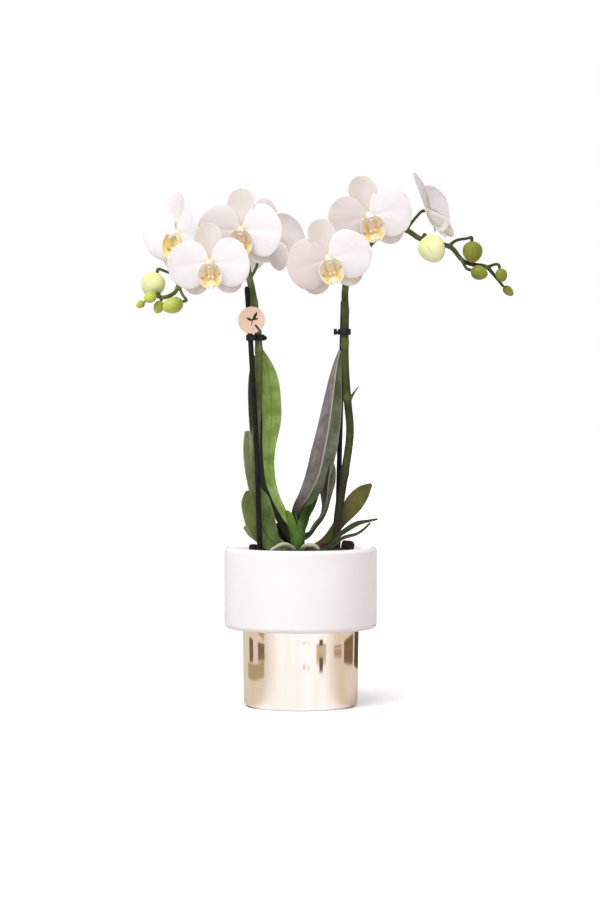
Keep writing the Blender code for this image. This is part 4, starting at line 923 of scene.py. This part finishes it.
def make_crown():
    """The short stem, and the two green sheaths that rise from it like a Y."""
    low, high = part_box("crown")
    centre = (low + high) / 2
    shares = np.linspace(0, 1, 14)
    path = [(centre.x, centre.y, low.z + (high.z - 2 * MM - low.z) * share) for share in shares]
    radii = interpolate([(0, 3.0), (0.4, 4.4), (0.8, 4.0), (1, 2.2)], shares) * MM
    piece("crown_heart", tube(path, radii, 24), [CROWN_SKIN], ["crown"], levels=1)
    sheaths = []
    for route, way_in in (([(-4.2, -2.6, 111, 5.0), (-5.0, -4.4, 121, 5.4), (-6.6, -3.8, 131, 4.6), (-9.2, -2.2, 141, 3.4), (-10.8, -1.6, 145, 1.2)],
                           (0.8, 0.7, 0.3)),
                          ([(-1.0, -2.6, 111, 4.8), (0.4, -4.4, 119, 5.2), (1.4, -3.4, 128, 5.0), (2.4, 0.0, 137, 4.2), (3.6, 2.8, 144, 2.8), (4.6, 4.4, 149, 0.8)],
                           (-0.8, 0.7, 0.3))):
        fine = spline(route, 20) * MM
        grid = blade_grid(fine[:, :3], fine[:, 3], np.tile(np.array(way_in), (20, 1)), 11, hollow=0.6)
        marks = {"along": np.linspace(0, 1, 20)[:, None], "across": np.linspace(-1, 1, 11)[None, :]}
        sheaths.append(grid_shape(grid, marks))
    piece("crown_sheaths", joined(sheaths), [CROWN_SKIN], [], thickness=1.2 * MM, levels=1)


ROOTS = {
    "aerial_root_1": [(-22.5, -24.5, 116.5, 1.6), (-18.5, -26, 119.2, 2), (-13.5, -26, 121.5, 2.3),
                      (-8.5, -23, 120.5, 2.2), (-4.5, -15, 116.5, 2.1)],
    "aerial_root_2": [(1, -11.5, 116, 2), (1.5, -19, 118.5, 2.2), (4.5, -25, 120.8, 2.3),
                      (9.5, -26.5, 121, 2.2), (13.5, -24.5, 117.8, 1.7)],
    "aerial_root_3": [(-2, 10.5, 115.8, 2), (5, 20, 117.5, 2.2), (14, 27, 116.5, 2.1), (24, 29, 114, 1.7)],
}


def make_roots():
    for name, points in ROOTS.items():
        fine = spline(points, 40) * MM
        wobble = 1 + 0.06 * np.sin(np.linspace(0, 24, 40) + len(points))
        radii = 0.76 * fine[:, 3] * wobble
        radii[0] *= 0.4
        radii[-1] *= 0.3
        piece(name.replace("aerial_root", "root_strand"), tube(fine[:, :3], radii, 14, flat=0.85),
              [ROOT_SKIN], [name], levels=1)


# =============================================================================================
# Flower spikes
# =============================================================================================

LEFT_SPIKE = [(-26.5, 3.3, 104, 3.1), (-27, 3, 108.5, 3), (-29, 2, 122, 3.1), (-31.5, 1, 150, 3),
              (-33.2, -3, 175, 3), (-33, -5.2, 200, 2.9), (-31.5, -5.5, 227, 2.9), (-31, -5, 267, 2.8),
              (-33, -4.5, 290, 2.7), (-36, -3, 309, 2.6), (-38.4, 0, 319, 2.6), (-40.5, 2, 329, 2.5),
              (-46.5, 5, 338, 2.3), (-56, 8, 343, 2.1), (-69, 10, 343, 2), (-80, 12, 335, 1.9),
              (-87.5, 11, 323, 1.8), (-90.5, 7, 313, 1.7), (-93, 1, 306.7, 1.6), (-100, -6, 303, 1.6),
              (-106.5, -10, 303.5, 1.4), (-111.5, -11, 301.5, 1.2), (-115, -12, 299.5, 1)]
RIGHT_SPIKE = [(24.8, 2, 104, 3.2), (25, 2, 108.5, 3.1), (26.5, 2, 120, 3.2), (27.5, 1, 138, 3.2),
               (29.8, 0, 156, 3.2), (32.4, -2, 172, 3.1), (35.7, -4, 193.5, 3), (36.4, -5, 208.5, 2.9),
               (34.6, -6, 227, 2.9), (33.1, -6, 249, 2.8), (32.8, -6, 270, 2.7), (33.1, -6, 290, 2.7),
               (32.8, -4.5, 308, 2.6), (36.5, 0, 323, 2.5), (44, 3, 333.5, 2.4), (50.6, 5, 341.5, 2.3),
               (59, 7, 349.8, 2.2), (70, 6, 354.3, 2.1), (79.5, 4, 352, 2), (87.6, 2, 346.7, 2),
               (97, 1.5, 343.8, 1.9), (107, 1, 341.5, 1.9), (112.7, 0, 338.5, 1.8), (119.4, 0, 330.4, 1.7),
               (126.8, 0, 327.4, 1.7), (135.6, 0, 326, 1.6), (139.3, 0, 323.8, 1.5), (145.5, 0, 316.4, 1.2),
               (150, 0, 310.8, 1)]
# Joints on the two stems: height, how much they swell, how pale they are, and the side of the scale
# leaf that sheathes each one: its direction, length and lean.
JOINTS = {
    "left": [(158, 0.10, 0.4, None), (204, 0.12, 0.4, None),
             (264, 0.14, 0.7, (0.25, -1.0, 6, 0.04)), (299, 0.12, 0.7, (-0.1, -1.0, 7, 0.04))],
    "right": [(172.5, 0.14, 0.1, None), (228.6, 0.12, 0.6, (1.0, -0.35, 10, 0.55)),
              (269, 0.14, 1.0, (-0.3, -1.0, 6, 0.03)), (293.5, 0.12, 0.2, None)],
}

# painted_shades: how much painted shade each flower's left petal, right petal, dorsal sepal and lateral sepals get.
FLOWERS = {
    1: dict(spike="left", stem=[(-74, 10.5, 340.5), (-82, 11, 346)],
            centre=(-91, 3, 350.5), yaw=-50, pitch=-2, roll=0, size=1.05, painted_shades=(0.0, 0.0, 0.1, 0.1), yellow=0.8),
    2: dict(spike="left", stem=[(-74, 10.5, 339.5), (-73.5, -3, 332.5), (-70, -16, 329)],
            centre=(-66, -30, 328.5), yaw=-7, pitch=-8, roll=-3, size=0.97, painted_shades=(0.0, 0.0, 0.6, 0.8)),
    3: dict(spike="left", stem=[(-48, 5.5, 339), (-47, 3, 347)],
            centre=(-43.2, -7, 353), yaw=-13, pitch=-5, roll=0, size=1.03, painted_shades=(0.55, 0.05, 0.35, 0.6)),
    4: dict(spike="left", stem=[(-38.4, 0, 316), (-34.5, 0.5, 321.5), (-31.8, 2, 329)],
            centre=(-25.8, 15, 347.5), yaw=142, pitch=4, roll=0, size=1, painted_shades=(0.5, 0.5, 0.5, 0.5)),
    5: dict(spike="right", stem=[(33, -5, 309), (29, -12, 321)],
            centre=(20, -26, 331.5), yaw=3, pitch=-8, roll=-15, size=1, painted_shades=(0.75, 0.0, 0.75, 0.8)),
    6: dict(spike="right", stem=[(54.5, 6, 346), (56, 4, 355)],
            centre=(50, -12, 363), yaw=7, pitch=-6, roll=-15, size=1.02, painted_shades=(0.7, 0.1, 0.9, 0.7)),
    7: dict(spike="right", stem=[(77.5, 4.5, 352.5), (83.5, 1.5, 360)],
            centre=(94.2, 2, 368), yaw=98, pitch=20, roll=0, size=1, cup=0.32, bend=0.34, painted_shades=(0.2, 0.2, 0.3, 0.3)),
}

BUDS = {
    "bud_left_1": dict(stem=[(-89.3, 8.5, 316.5), (-94.5, 4, 319.8), (-101, -1, 322.6), (-106, -4, 321)],
                       points=(-0.32, -0.02, -1), length=19, width=18, skin="ripe"),
    "bud_left_2": dict(stem=[(-90.7, 6.5, 312.5), (-87.2, -6, 305), (-86.8, -14, 299.8)],
                       points=(-0.93, -0.25, -0.34), length=16, width=12.2, skin="bright"),
    "bud_left_3": dict(stem=[(-104, -9.6, 303.3), (-106.8, -15, 305)],
                       points=(-0.7, -0.45, -0.4), length=10, width=8.6, skin="bright"),
    "bud_left_4": dict(stem=[(-101, -9.3, 303), (-103, -8.5, 300.2)],
                       points=(-0.35, 0.05, -0.9), length=9.8, width=8, skin="bright"),
    "bud_left_5": dict(stem=[(-115, -12, 299.5)],
                       points=(-0.85, -0.1, -0.5), length=7, width=5.6, skin="bright"),
    "bud_right_1": dict(stem=[(87, 2, 347), (89.5, -4, 346.4), (92.5, -8.8, 347)],
                        points=(0.42, -0.42, -0.82), length=21.5, width=19.8, skin="ripe"),
    "bud_right_2": dict(stem=[(109, 1, 340.5), (115, -0.5, 345), (122.5, -3.5, 346.3), (126.2, -5, 344.2)],
                        points=(0.05, -0.05, -1), length=15.8, width=15, skin="olive"),
    "bud_right_3": dict(stem=[(118.8, 0, 331.2), (121.5, -4, 325.5), (125.6, -7.6, 323)],
                        points=(0.95, -0.1, -0.3), length=12.8, width=10.8, skin="olive"),
    "bud_right_4": dict(stem=[(137.5, 0, 325), (143, -3, 327.2), (146.8, -6.2, 324)],
                        points=(0.25, -0.05, -1), length=10, width=8.8, skin="olive"),
    "bud_right_5": dict(stem=[(150, 0, 310.8)],
                        points=(0.74, 0, -0.67), length=9.4, width=6.6, skin="olive"),
}
BUD_SKINS = {"ripe": RIPE_BUD, "bright": BRIGHT_BUD, "olive": OLIVE_BUD}

FLOWER_BACK = -2.6 * MM


def flower_place(flower):
    """Carries a flower's own frame (+X right, +Y up, +Z out of its face) to its place on the plant."""
    yaw, pitch, roll = (math.radians(flower[key]) for key in ("yaw", "pitch", "roll"))
    turn = (Matrix.Rotation(yaw, 4, "Z") @ Matrix.Rotation(-pitch, 4, "X")
            @ Matrix.Rotation(math.radians(90), 4, "X") @ Matrix.Rotation(-roll, 4, "Z"))
    return Matrix.Translation(Vector(flower["centre"]) * MM) @ turn @ Matrix.Scale(flower["size"], 4)


def stalk(points, end, way, root_radius, tip_radius):
    """A flower's or bud's stalk: flared where it leaves the spike, and fuller again at its end."""
    run_up = Vector(end) - Vector(way) * 3 * MM
    route = spline([*(np.array(points) * MM), tuple(run_up), tuple(end)], 26)
    share = np.linspace(0, 1, 26)
    radii = (1.15 * MM + (root_radius - 1.15 * MM) * np.exp(-(share / 0.16) ** 2)
             + (tip_radius - 1.15 * MM) * np.exp(-((1 - share) / 0.22) ** 2))
    return tube(route, radii, 12)


def fused(name, shapes, grain):
    """Overlapping closed shapes grown into one skin."""
    rough = bpy.data.objects.new(name + "_parts", mesh_of(name, joined(shapes)))
    bpy.context.scene.collection.objects.link(rough)
    remesh = rough.modifiers.new("fuse", "REMESH")
    remesh.mode = "VOXEL"
    remesh.voxel_size = grain
    smooth = rough.modifiers.new("ease", "SMOOTH")
    smooth.factor = 0.5
    smooth.iterations = 5
    graph = bpy.context.evaluated_depsgraph_get()
    mesh = bpy.data.meshes.new_from_object(rough.evaluated_get(graph))
    bpy.data.objects.remove(rough)
    mesh.shade_smooth()
    return mesh


def path_at_height(points, height):
    """The middle and the radius of a stem at a height, all in metres, from its points in millimetres."""
    for low, high in zip(points, points[1:]):
        if low[2] <= height <= high[2]:
            share = (height - low[2]) / (high[2] - low[2])
            middle = Vector(low[:3]).lerp(Vector(high[:3]), share)
            return middle * MM, (low[3] + (high[3] - low[3]) * share) * MM
    raise ValueError("no stem at that height")


def scale_leaf(centre, radius, way, length, lean):
    """The small sheathing leaf at a joint: it hugs the stem and ends in a point."""
    rows, columns = 14, 13
    side = Vector((way[0], way[1], 0)).normalized()
    facing = math.atan2(side.y, side.x)
    points = np.zeros((rows, columns, 3))
    for i, share in enumerate(np.linspace(0, 1, rows)):
        spread_angle = math.radians(150) * (1 - share) ** 0.8 + 0.02
        out = radius + 0.35 * MM + lean * length * MM * share**1.3
        rise = -1.0 * MM + length * MM * share
        for j, t in enumerate(np.linspace(-1, 1, columns)):
            angle = facing + t * spread_angle / 2
            offset = Vector((math.cos(angle), math.sin(angle), 0)) * (radius + 0.35 * MM)
            offset += side * (out - radius - 0.35 * MM)
            points[i, j] = centre + offset + Vector((0, 0, rise - 0.8 * MM * t * t * (1 - share)))
    marks = {"along": np.linspace(0, 1, rows)[:, None], "joint": np.linspace(0.30, 0.10, rows)[:, None]}
    return grid_shape(points[:, ::-1], marks)


def make_spike(side, route):
    skin = STEM_LEFT if side == "left" else STEM_RIGHT
    fine = spline(route, 220) * MM
    radii = fine[:, 3].copy()
    joints = []
    for height, swell, pale, scale in JOINTS[side]:
        centre, radius = path_at_height(route, height)
        joints.append((np.array(centre), pale))
        near = np.linalg.norm(fine[:, :3] - np.array(centre), axis=1)
        radii *= 1 + swell * np.exp(-(near / 0.0024) ** 2)
    ends = [(f"flower_{n}", f) for n, f in FLOWERS.items() if f["spike"] == side]
    shapes = [tube(fine[:, :3], radii, 20)]
    for name, flower in ends:
        place = flower_place(flower)
        end = place @ Vector((0, 0, FLOWER_BACK))
        way = (place.to_3x3() @ Vector((0, 0, 1))).normalized()
        shapes.append(stalk(flower["stem"], end, way, 1.7 * MM, 1.5 * MM))
        joints.append((np.array(flower["stem"][0]) * MM, 0.5))
    for name, bud in BUDS.items():
        if side in name and len(bud["stem"]) > 1:
            way = Vector(bud["points"]).normalized()
            shapes.append(stalk(bud["stem"][:-1], Vector(bud["stem"][-1]) * MM, way, 1.5 * MM, 1.3 * MM))
            joints.append((np.array(bud["stem"][0]) * MM, 0.35))
    mesh = fused(f"flower_spike_{side}", shapes, 0.45 * MM)
    count = len(mesh.vertices)
    places = np.zeros(count * 3)
    mesh.vertices.foreach_get("co", places)
    places = places.reshape(count, 3)
    pale = np.zeros(count)
    for centre, amount in joints:
        near = np.linalg.norm(places - centre, axis=1)
        pale = np.maximum(pale, amount * np.exp(-(near / 0.0032) ** 2))
    mesh.attributes.new("joint", "FLOAT", "POINT").data.foreach_set("value", pale.astype(np.float32))
    piece(f"flower_spike_{side}", mesh, [skin], [f"spike_{side}"])
    scales = []
    for height, swell, pale_amount, scale in JOINTS[side]:
        if scale:
            centre, radius = path_at_height(route, height)
            scales.append(scale_leaf(centre, radius * (1 + swell), scale[:2], scale[2], scale[3]))
    piece(f"scale_leaves_{side}", joined(scales), [skin], [], thickness=0.35 * MM, levels=1)


# =============================================================================================
# Buds
# =============================================================================================


def make_bud(name, bud):
    """A closed bud: an egg with three shallow seams, plump near its stalk and blunt-pointed at its tip."""
    way = Vector(bud["points"]).normalized()
    foot = Vector(bud["stem"][-1]) * MM
    draw = random.Random(name)
    rows, columns = 26, 48
    share = (1 - np.cos(np.linspace(0.05, math.pi, rows))) / 2
    outline = np.sqrt(np.clip(4 * share * (1 - share), 0, 1)) * (1.10 - 0.22 * share)
    outline *= 1 - 0.10 * share**6
    angles = np.linspace(0, 2 * math.pi, columns, endpoint=False)
    start = draw.uniform(0, 2)
    seam = np.zeros(columns)
    for k in range(3):
        away = np.angle(np.exp(1j * (angles - start - k * 2 * math.pi / 3)))
        seam = np.maximum(seam, np.exp(-(away / 0.09) ** 2))
    fade = np.clip(np.sin(np.pi * share), 0, 1) ** 0.5
    lobes = 1 + 0.035 * np.cos(3 * (angles - start) + math.pi)
    radius = bud["width"] * MM / 2 * outline[:, None] * (lobes[None, :] - 0.03 * seam[None, :] * fade[:, None])
    radius = np.maximum(radius, 0.05 * MM)
    across = way.orthogonal().normalized()
    other = way.cross(across)
    reach = share * bud["length"] * MM
    grid = (np.array(foot)[None, None, :] + reach[:, None, None] * np.array(way)
            + radius[:, :, None] * (np.cos(angles)[None, :, None] * np.array(across)
                                    + np.sin(angles)[None, :, None] * np.array(other)))
    marks = {"along": share[:, None], "seam": seam[None, :] * fade[:, None], "across": np.cos(angles * 1.5)[None, :]}
    shape = grid_shape(grid[:, ::-1], {k: np.broadcast_to(v, (rows, columns))[:, ::-1] for k, v in marks.items()}, closed=True)
    piece(name.replace("bud", "bud_egg"), shape, [BUD_SKINS[bud["skin"]]], [name], levels=1)


# =============================================================================================
# Flowers
# =============================================================================================

PETAL_SPREAD = math.radians(74)
SEPAL_WIDTHS = [(0, 0.25), (0.15, 0.48), (0.35, 0.80), (0.55, 0.99), (0.68, 1.0), (0.80, 0.90), (0.90, 0.70),
                (0.96, 0.46), (1, 0.10)]
LIP_MIDDLE = -9.3  # how far the lip hangs below the heart, in millimetres


def flower_axes(angle):
    """In the flower's frame: the way a part leaves the heart, and the way across it."""
    turn = math.radians(angle)
    return np.array((math.sin(turn), math.cos(turn), 0.0)), np.array((-math.cos(turn), math.sin(turn), 0.0))


def petal(angle, draw, tone, length=31.5 * MM, cup=0.24, curl=0.10):
    """A broad petal that fans from a narrow claw, comes forward at its tip and waves along its margin."""
    way, over = flower_axes(angle)
    rows, columns = 20, 33
    turn = np.sin(np.linspace(-1, 1, columns) * math.pi / 2) * PETAL_SPREAD
    rim = np.cos(turn / PETAL_SPREAD * math.pi / 2 * 0.985) ** 0.36
    rim *= 1 + 0.02 * np.sin(turn * 3 + draw.uniform(0, 6)) + 0.01 * np.sin(turn * 7 + draw.uniform(0, 6))
    share = np.linspace(0.06, 1, rows)[:, None]
    reach = share * rim * np.cos(turn)
    side = share * rim * np.sin(turn)
    lift = cup * reach**1.6 - curl * side**2 - 0.05 * draw.uniform(0.2, 1) * share**6
    lift += 0.014 * share**4 * np.sin(turn * 5 + draw.uniform(0, 6)) + 0.006 * share**6 * np.sin(turn * 12 + draw.uniform(0, 6))
    lift += draw.uniform(-0.10, 0.10) * reach * side
    lift -= 0.016 * np.exp(-(turn / 0.15) ** 2) * np.sin(np.pi * np.clip(share, 0, 1)) ** 0.7
    lift = lift + 0.045
    grid = length * (reach[:, :, None] * way + side[:, :, None] * over + lift[:, :, None] * np.array((0, 0, 1.0)))
    # The tone mark: painted shade over the whole petal by its flower's amount, a little weaker towards the tip, with a
    # darker painted rim right at the tip.
    marks = {"along": share, "across": turn[None, :] / PETAL_SPREAD, "tone": tone * (1.0 - 0.25 * share) + 0.22 * share**9}
    return grid_shape(grid, marks)


def sepal(angle, draw, tone, length=29.5 * MM, half_width=10.2 * MM, bend=-0.08, hollow=0.20):
    """A long oval sepal, a little boat-shaped, with its tip turned."""
    way, over = flower_axes(angle)
    rows, columns = 24, 15
    share = np.sin(np.linspace(0, 1, rows) * math.pi / 2)
    widths = half_width * interpolate(SEPAL_WIDTHS, share)
    across = np.linspace(-1, 1, columns)
    reach = (1.0 * MM + (length - 1.0 * MM) * share)[:, None]
    side = widths[:, None] * across[None, :]
    lift = bend * length * share[:, None] ** 2 + hollow * half_width * across[None, :] ** 2 * np.sin(np.pi * share)[:, None] ** 0.5
    lift = lift - 0.7 * MM * np.exp(-(across[None, :] / 0.12) ** 2) * np.sin(np.pi * share)[:, None]
    lift = lift + 0.3 * MM * across[None, :] ** 2 * np.sin(share * 9 + draw.uniform(0, 6))[:, None] - 1.0 * MM
    lift = lift + draw.uniform(-0.05, 0.05) * side
    grid = reach[:, :, None] * way + side[:, :, None] * over + lift[:, :, None] * np.array((0, 0, 1.0))
    # The tone mark: painted shade by its flower's amount, strongest along the edge where across is 1 and weakest along
    # the other edge.
    marks = {"along": share[:, None], "across": across[None, :], "tone": tone * (0.65 + 0.35 * across[None, :])}
    return grid_shape(grid, marks)


def side_lobe(side):
    """One side wall of the lip: part of a bowl that stands up below the column."""
    rows, columns = 14, 24
    share = np.linspace(0, 1, rows)[:, None]
    turn = np.radians(np.linspace(-84, 70, columns))[None, :]
    height = 0.80 + 0.20 * np.cos(turn + 0.2)
    radius = (2.4 + 8.2 * share**0.62 - 1.3 * share**5) * (1 - 0.05 * np.cos(turn * 2))
    x = side * radius * np.cos(turn)
    y = LIP_MIDDLE + radius * np.sin(turn)
    z = 1.4 + 5.6 * share**1.25 * height
    corner = np.exp(-((turn + 0.95) / 0.42) ** 2) * np.clip(share * 2.2, 0, 1) * np.clip((1.05 - share) * 3, 0, 1)
    centre, wide = (-0.35, 0.16) if side < 0 else (0.05, 0.10)
    streak = 0.9 * np.exp(-((turn - centre - 0.9 * (share - 0.4)) / wide) ** 2) * np.exp(-((share - 0.42) / 0.16) ** 2)
    grid = np.stack([x, y, z], axis=-1) * MM
    marks = {"along": share + 0 * turn, "across": turn / math.pi + 0 * share, "corner": corner, "streak": streak}
    if side < 0:
        grid, marks = grid[:, ::-1], {name: values[:, ::-1] for name, values in marks.items()}
    return grid_shape(grid, marks)


def middle_lobe():
    """The tongue of the lip: short, with a raised keel, ending in a pale tip at the bottom of the bowl."""
    rows, columns = 22, 13
    path = spline([(0, -9.6, 1.8), (0, -12.0, 3.2), (0, -14.4, 4.8), (0, -16.6, 5.8), (0, -18.4, 5.8)], rows) * MM
    share = np.linspace(0, 1, rows)
    widths = interpolate([(0, 2.4), (0.25, 2.6), (0.5, 3.4), (0.7, 4.2), (0.86, 3.0), (1, 0.8)], share) * MM
    normals = np.tile(np.array((0.0, 0.55, 1.0)), (rows, 1))
    grid = blade_grid(path, widths, normals, columns, fold=-0.25, hollow=-0.12)
    marks = {"along": (0.10 + 0.34 * share)[:, None], "across": np.linspace(-1, 1, columns)[None, :]}
    return grid_shape(grid, marks)


def tendril(side):
    path = spline([(side * 0.4, -17.8, 5.8), (side * 1.5, -18.6, 6.6), (side * 2.8, -17.8, 7.8), (side * 2.8, -16.4, 8.4)],
                  18) * MM
    return tube(path, np.linspace(0.40, 0.14, 18) * MM, 8, marks={"along": np.full((18, 1), 0.95)})


def make_flower(number, flower):
    draw = random.Random(100 + number)
    place = flower_place(flower)

    def carried(shapes):
        return moved(joined(shapes), place)

    petals = [petal(angle, draw, tone, cup=flower.get("cup", 0.24)) for angle, tone in zip((-92, 92), flower["painted_shades"])]
    piece(f"petal_pair_{number}", carried(petals), [PETAL_WHITE], [f"flower_{number}_petals"],
          thickness=0.55 * MM, levels=1)
    laterals = [sepal(angle, draw, flower["painted_shades"][3], half_width=9.8 * MM, bend=flower.get("bend", -0.08))
                for angle in (139, -139)]
    sepals = [sepal(0, draw, flower["painted_shades"][2], bend=0.02), *laterals]
    piece(f"sepal_trio_{number}", carried(sepals), [SEPAL_WHITE], [f"flower_{number}_sepals"],
          thickness=0.6 * MM, levels=1)
    knuckle = tube([(0, 0, FLOWER_BACK - 0.6 * MM), (0, 0, -1.2 * MM), (0, 0, 0.6 * MM)],
                   [1.7 * MM, 2.4 * MM, 3.2 * MM], 20)
    column_path = spline([(0, 0.2, 0.0), (0, 0.2, 2.0), (0, -0.5, 4.2), (0, -1.6, 6.2), (0, -2.4, 7.2)], 18) * MM
    column_radii = interpolate([(0, 2.6), (0.3, 2.4), (0.7, 2.9), (0.9, 2.7), (1.0, 1.4)], np.linspace(0, 1, 18)) * MM
    column = tube(column_path, column_radii, 18, flat=0.9, marks={"along": np.full((18, 1), 0.5)})
    cap = ball((0, -2.6 * MM, 6.9 * MM), (2.1 * MM, 1.8 * MM, 1.1 * MM), marks={"along": 0.0})
    piece(f"column_{number}", carried([knuckle, column, cap]), [COLUMN_WHITE], [], levels=1)
    lip = [side_lobe(1), side_lobe(-1), middle_lobe()]
    for lobe in lip[:2]:
        lobe[2]["corner"] = np.maximum(lobe[2]["corner"], flower.get("yellow", 0.0))
    piece(f"lip_{number}", carried(lip), [LIP_SKIN], [f"flower_{number}_lip"], thickness=0.5 * MM, levels=1)
    callus = [ball((side * 1.4 * MM, -11.2 * MM, 3.6 * MM), (1.4 * MM, 1.7 * MM, 1.5 * MM), marks={"along": 0.25})
              for side in (1, -1)]
    claw = ball((0, -6.0 * MM, 1.9 * MM), (2.8 * MM, 6.0 * MM, 1.5 * MM), marks={"along": 0.3})
    extras = [tendril(1), tendril(-1), claw, *callus]
    piece(f"lip_trim_{number}", carried(extras), [LIP_SKIN], [])


# =============================================================================================
# Stage, lights and camera
# =============================================================================================


def make_floor():
    """Plain white ground. It sends up a warmer, weaker light than it shows, and gleams in front of the pot."""
    mesh = bpy.data.meshes.new("floor")
    half = 6.0
    mesh.from_pydata([(-half, -half, 0), (half, -half, 0), (half, half, 0), (-half, half, 0)], [], [(0, 1, 2, 3)])
    made, tree, shader = finish("floor_white", Roughness=0.8, Specular_IOR_Level=0.1)
    path = node(tree, "LightPath")
    seen = blend(tree, path.outputs["Is Camera Ray"], (0.62, 0.57, 0.54), (0.98, 0.98, 0.98))
    plug(tree, seen, shader.inputs["Base Color"])
    place = node(tree, "TexCoord").outputs["Object"]
    away = node(tree, "VectorMath", {0: place}, operation="LENGTH").outputs["Value"]
    nearer = maths(tree, "MULTIPLY", node(tree, "SeparateXYZ", {0: place}).outputs["Y"], -1.0)
    gleam = spread(tree, maths(tree, "DIVIDE", nearer, away), 0.25, 0.90, 0.0, 0.95)
    gleam = maths(tree, "MULTIPLY", gleam, path.outputs["Is Glossy Ray"])
    lift = maths(tree, "MULTIPLY", path.outputs["Is Camera Ray"], 0.09)
    plug(tree, maths(tree, "ADD", gleam, lift), shader.inputs["Emission Strength"])
    glow = blend(tree, path.outputs["Is Camera Ray"], (0.42, 0.54, 0.86), (1.0, 1.0, 1.0))
    plug(tree, glow, shader.inputs["Emission Color"])
    mesh.materials.append(made)
    floor = bpy.data.objects.new("floor", mesh)
    bpy.context.scene.collection.objects.link(floor)


def make_reflection_card(name, corners, colour):
    """A dark card that only shows in reflections, as the unlit parts of a studio do."""
    mesh = bpy.data.meshes.new(name)
    mesh.from_pydata(corners, [], [(0, 1, 2, 3)])
    made = bpy.data.materials.new(name)
    made.use_nodes = True
    made.node_tree.nodes.clear()
    glow = made.node_tree.nodes.new("ShaderNodeEmission")
    glow.inputs["Color"].default_value = (*colour, 1.0)
    out = made.node_tree.nodes.new("ShaderNodeOutputMaterial")
    made.node_tree.links.new(glow.outputs[0], out.inputs[0])
    mesh.materials.append(made)
    card = bpy.data.objects.new(name, mesh)
    bpy.context.scene.collection.objects.link(card)
    for ray in ("camera", "diffuse", "shadow", "transmission", "volume_scatter"):
        setattr(card, f"visible_{ray}", False)


def upright_card(name, azimuth_start, azimuth_end, distance, height, colour):
    """A card that stands on the ground between two azimuths, counted from the viewer's side towards +X."""
    ends = [(distance * math.sin(math.radians(a)), -distance * math.cos(math.radians(a)))
            for a in (azimuth_start, azimuth_end)]
    (x0, y0), (x1, y1) = ends
    make_reflection_card(name, [(x0, y0, 0), (x1, y1, 0), (x1, y1, height), (x0, y0, height)], colour)


def make_world():
    """A bright cool side on the left and a dimmer warm side on the right, and white where it is looked at."""
    world = bpy.data.worlds.new("studio")
    bpy.context.scene.world = world
    world.use_nodes = True
    tree = world.node_tree
    tree.nodes.clear()
    way = node(tree, "SeparateXYZ", {0: node(tree, "TexCoord").outputs["Generated"]})
    room = blend(tree, spread(tree, way.outputs["X"], -0.55, 0.70), (0.74, 0.75, 0.785), (0.67, 0.63, 0.625))
    seen = node(tree, "Background", {"Color": (1, 1, 1, 1), "Strength": 1.0})
    lights = node(tree, "Background", {"Color": room, "Strength": 1.0})
    is_camera = node(tree, "LightPath").outputs["Is Camera Ray"]
    mixed = node(tree, "MixShader", {0: is_camera, 1: lights.outputs[0], 2: seen.outputs[0]})
    node(tree, "OutputWorld", {"Surface": mixed.outputs[0]})


def add_light(name, kind, energy, place, aim, size=0.0, colour=(1, 1, 1)):
    light = bpy.data.lights.new(name, kind)
    light.energy = energy
    light.color = colour
    if kind == "SUN":
        light.angle = size
    else:
        light.size = size
    made = bpy.data.objects.new(name, light)
    made.location = place
    made.rotation_mode = "QUATERNION"
    made.rotation_quaternion = (Vector(aim) - Vector(place)).to_track_quat("-Z", "Y")
    bpy.context.scene.collection.objects.link(made)
    return made


def make_camera():
    camera = bpy.data.cameras.new("camera")
    camera.lens = 140.5
    camera.sensor_width = 36.0
    camera.clip_end = 50
    made = bpy.data.objects.new("camera", camera)
    made.location = (-0.0005, -2.6, 0.284)
    made.rotation_mode = "QUATERNION"
    made.rotation_quaternion = (Vector((-0.0005, 0, 0.190)) - made.location).to_track_quat("-Z", "Y")
    bpy.context.scene.collection.objects.link(made)
    bpy.context.scene.camera = made


make_camera()
make_floor()
make_world()
add_light("key", "SUN", 2.2, (-0.65, -1.6, 2.6), (0, 0, 0.2), size=math.radians(40), colour=(1.0, 0.99, 0.97))
# What the room leaves in the lustre: posts and a box on the left, a figure and dashes ahead, and a dark
# wall with a gap on the right. Azimuths are in degrees, the rest in metres.
for card_number, card in enumerate((
    (-117, -103, 0.30, 0.020, (0.20, 0.16, 0.11)), (-89, -72, 0.30, 0.020, (0.22, 0.17, 0.12)),
    (-120, -71, 0.20, 0.013, (0.48, 0.38, 0.27)), (34, 41, 0.225, 0.013, (0.13, 0.09, 0.06)),
    (29, 48, 0.27, 0.022, (0.66, 0.57, 0.47)), (4, 9, 0.245, 0.0022, (0.22, 0.18, 0.13)),
    (12, 17, 0.245, 0.0016, (0.22, 0.18, 0.13)), (66, 84, 0.32, 0.008, (0.45, 0.34, 0.24)),
    (90, 121, 0.29, 0.018, (0.20, 0.13, 0.08)), (127, 158, 0.28, 0.022, (0.11, 0.07, 0.045)),
)):
    upright_card(f"room_card_{card_number}", *card)
bpy.context.scene.view_settings.view_transform = "Standard"
bpy.context.scene.view_settings.look = "None"

make_cover_pot()
make_grow_pot()
make_bark_fill()
make_bark_chips()
make_stakes()
make_clip("left", 0.2733, (-0.0312, -0.0050, 0.2733), 2.9 * MM, -0.0266)
make_clip("right", 0.2775, (0.0329, -0.0060, 0.2775), 2.9 * MM, 0.0243)
make_tag()
make_crown()
for leaf_name, leaf_spec in LEAVES.items():
    make_leaf(leaf_name, leaf_spec)
make_roots()
make_spike("left", LEFT_SPIKE)
make_spike("right", RIGHT_SPIKE)
for bud_name, bud_spec in BUDS.items():
    make_bud(bud_name, bud_spec)
for flower_number, flower_spec in FLOWERS.items():
    make_flower(flower_number, flower_spec)
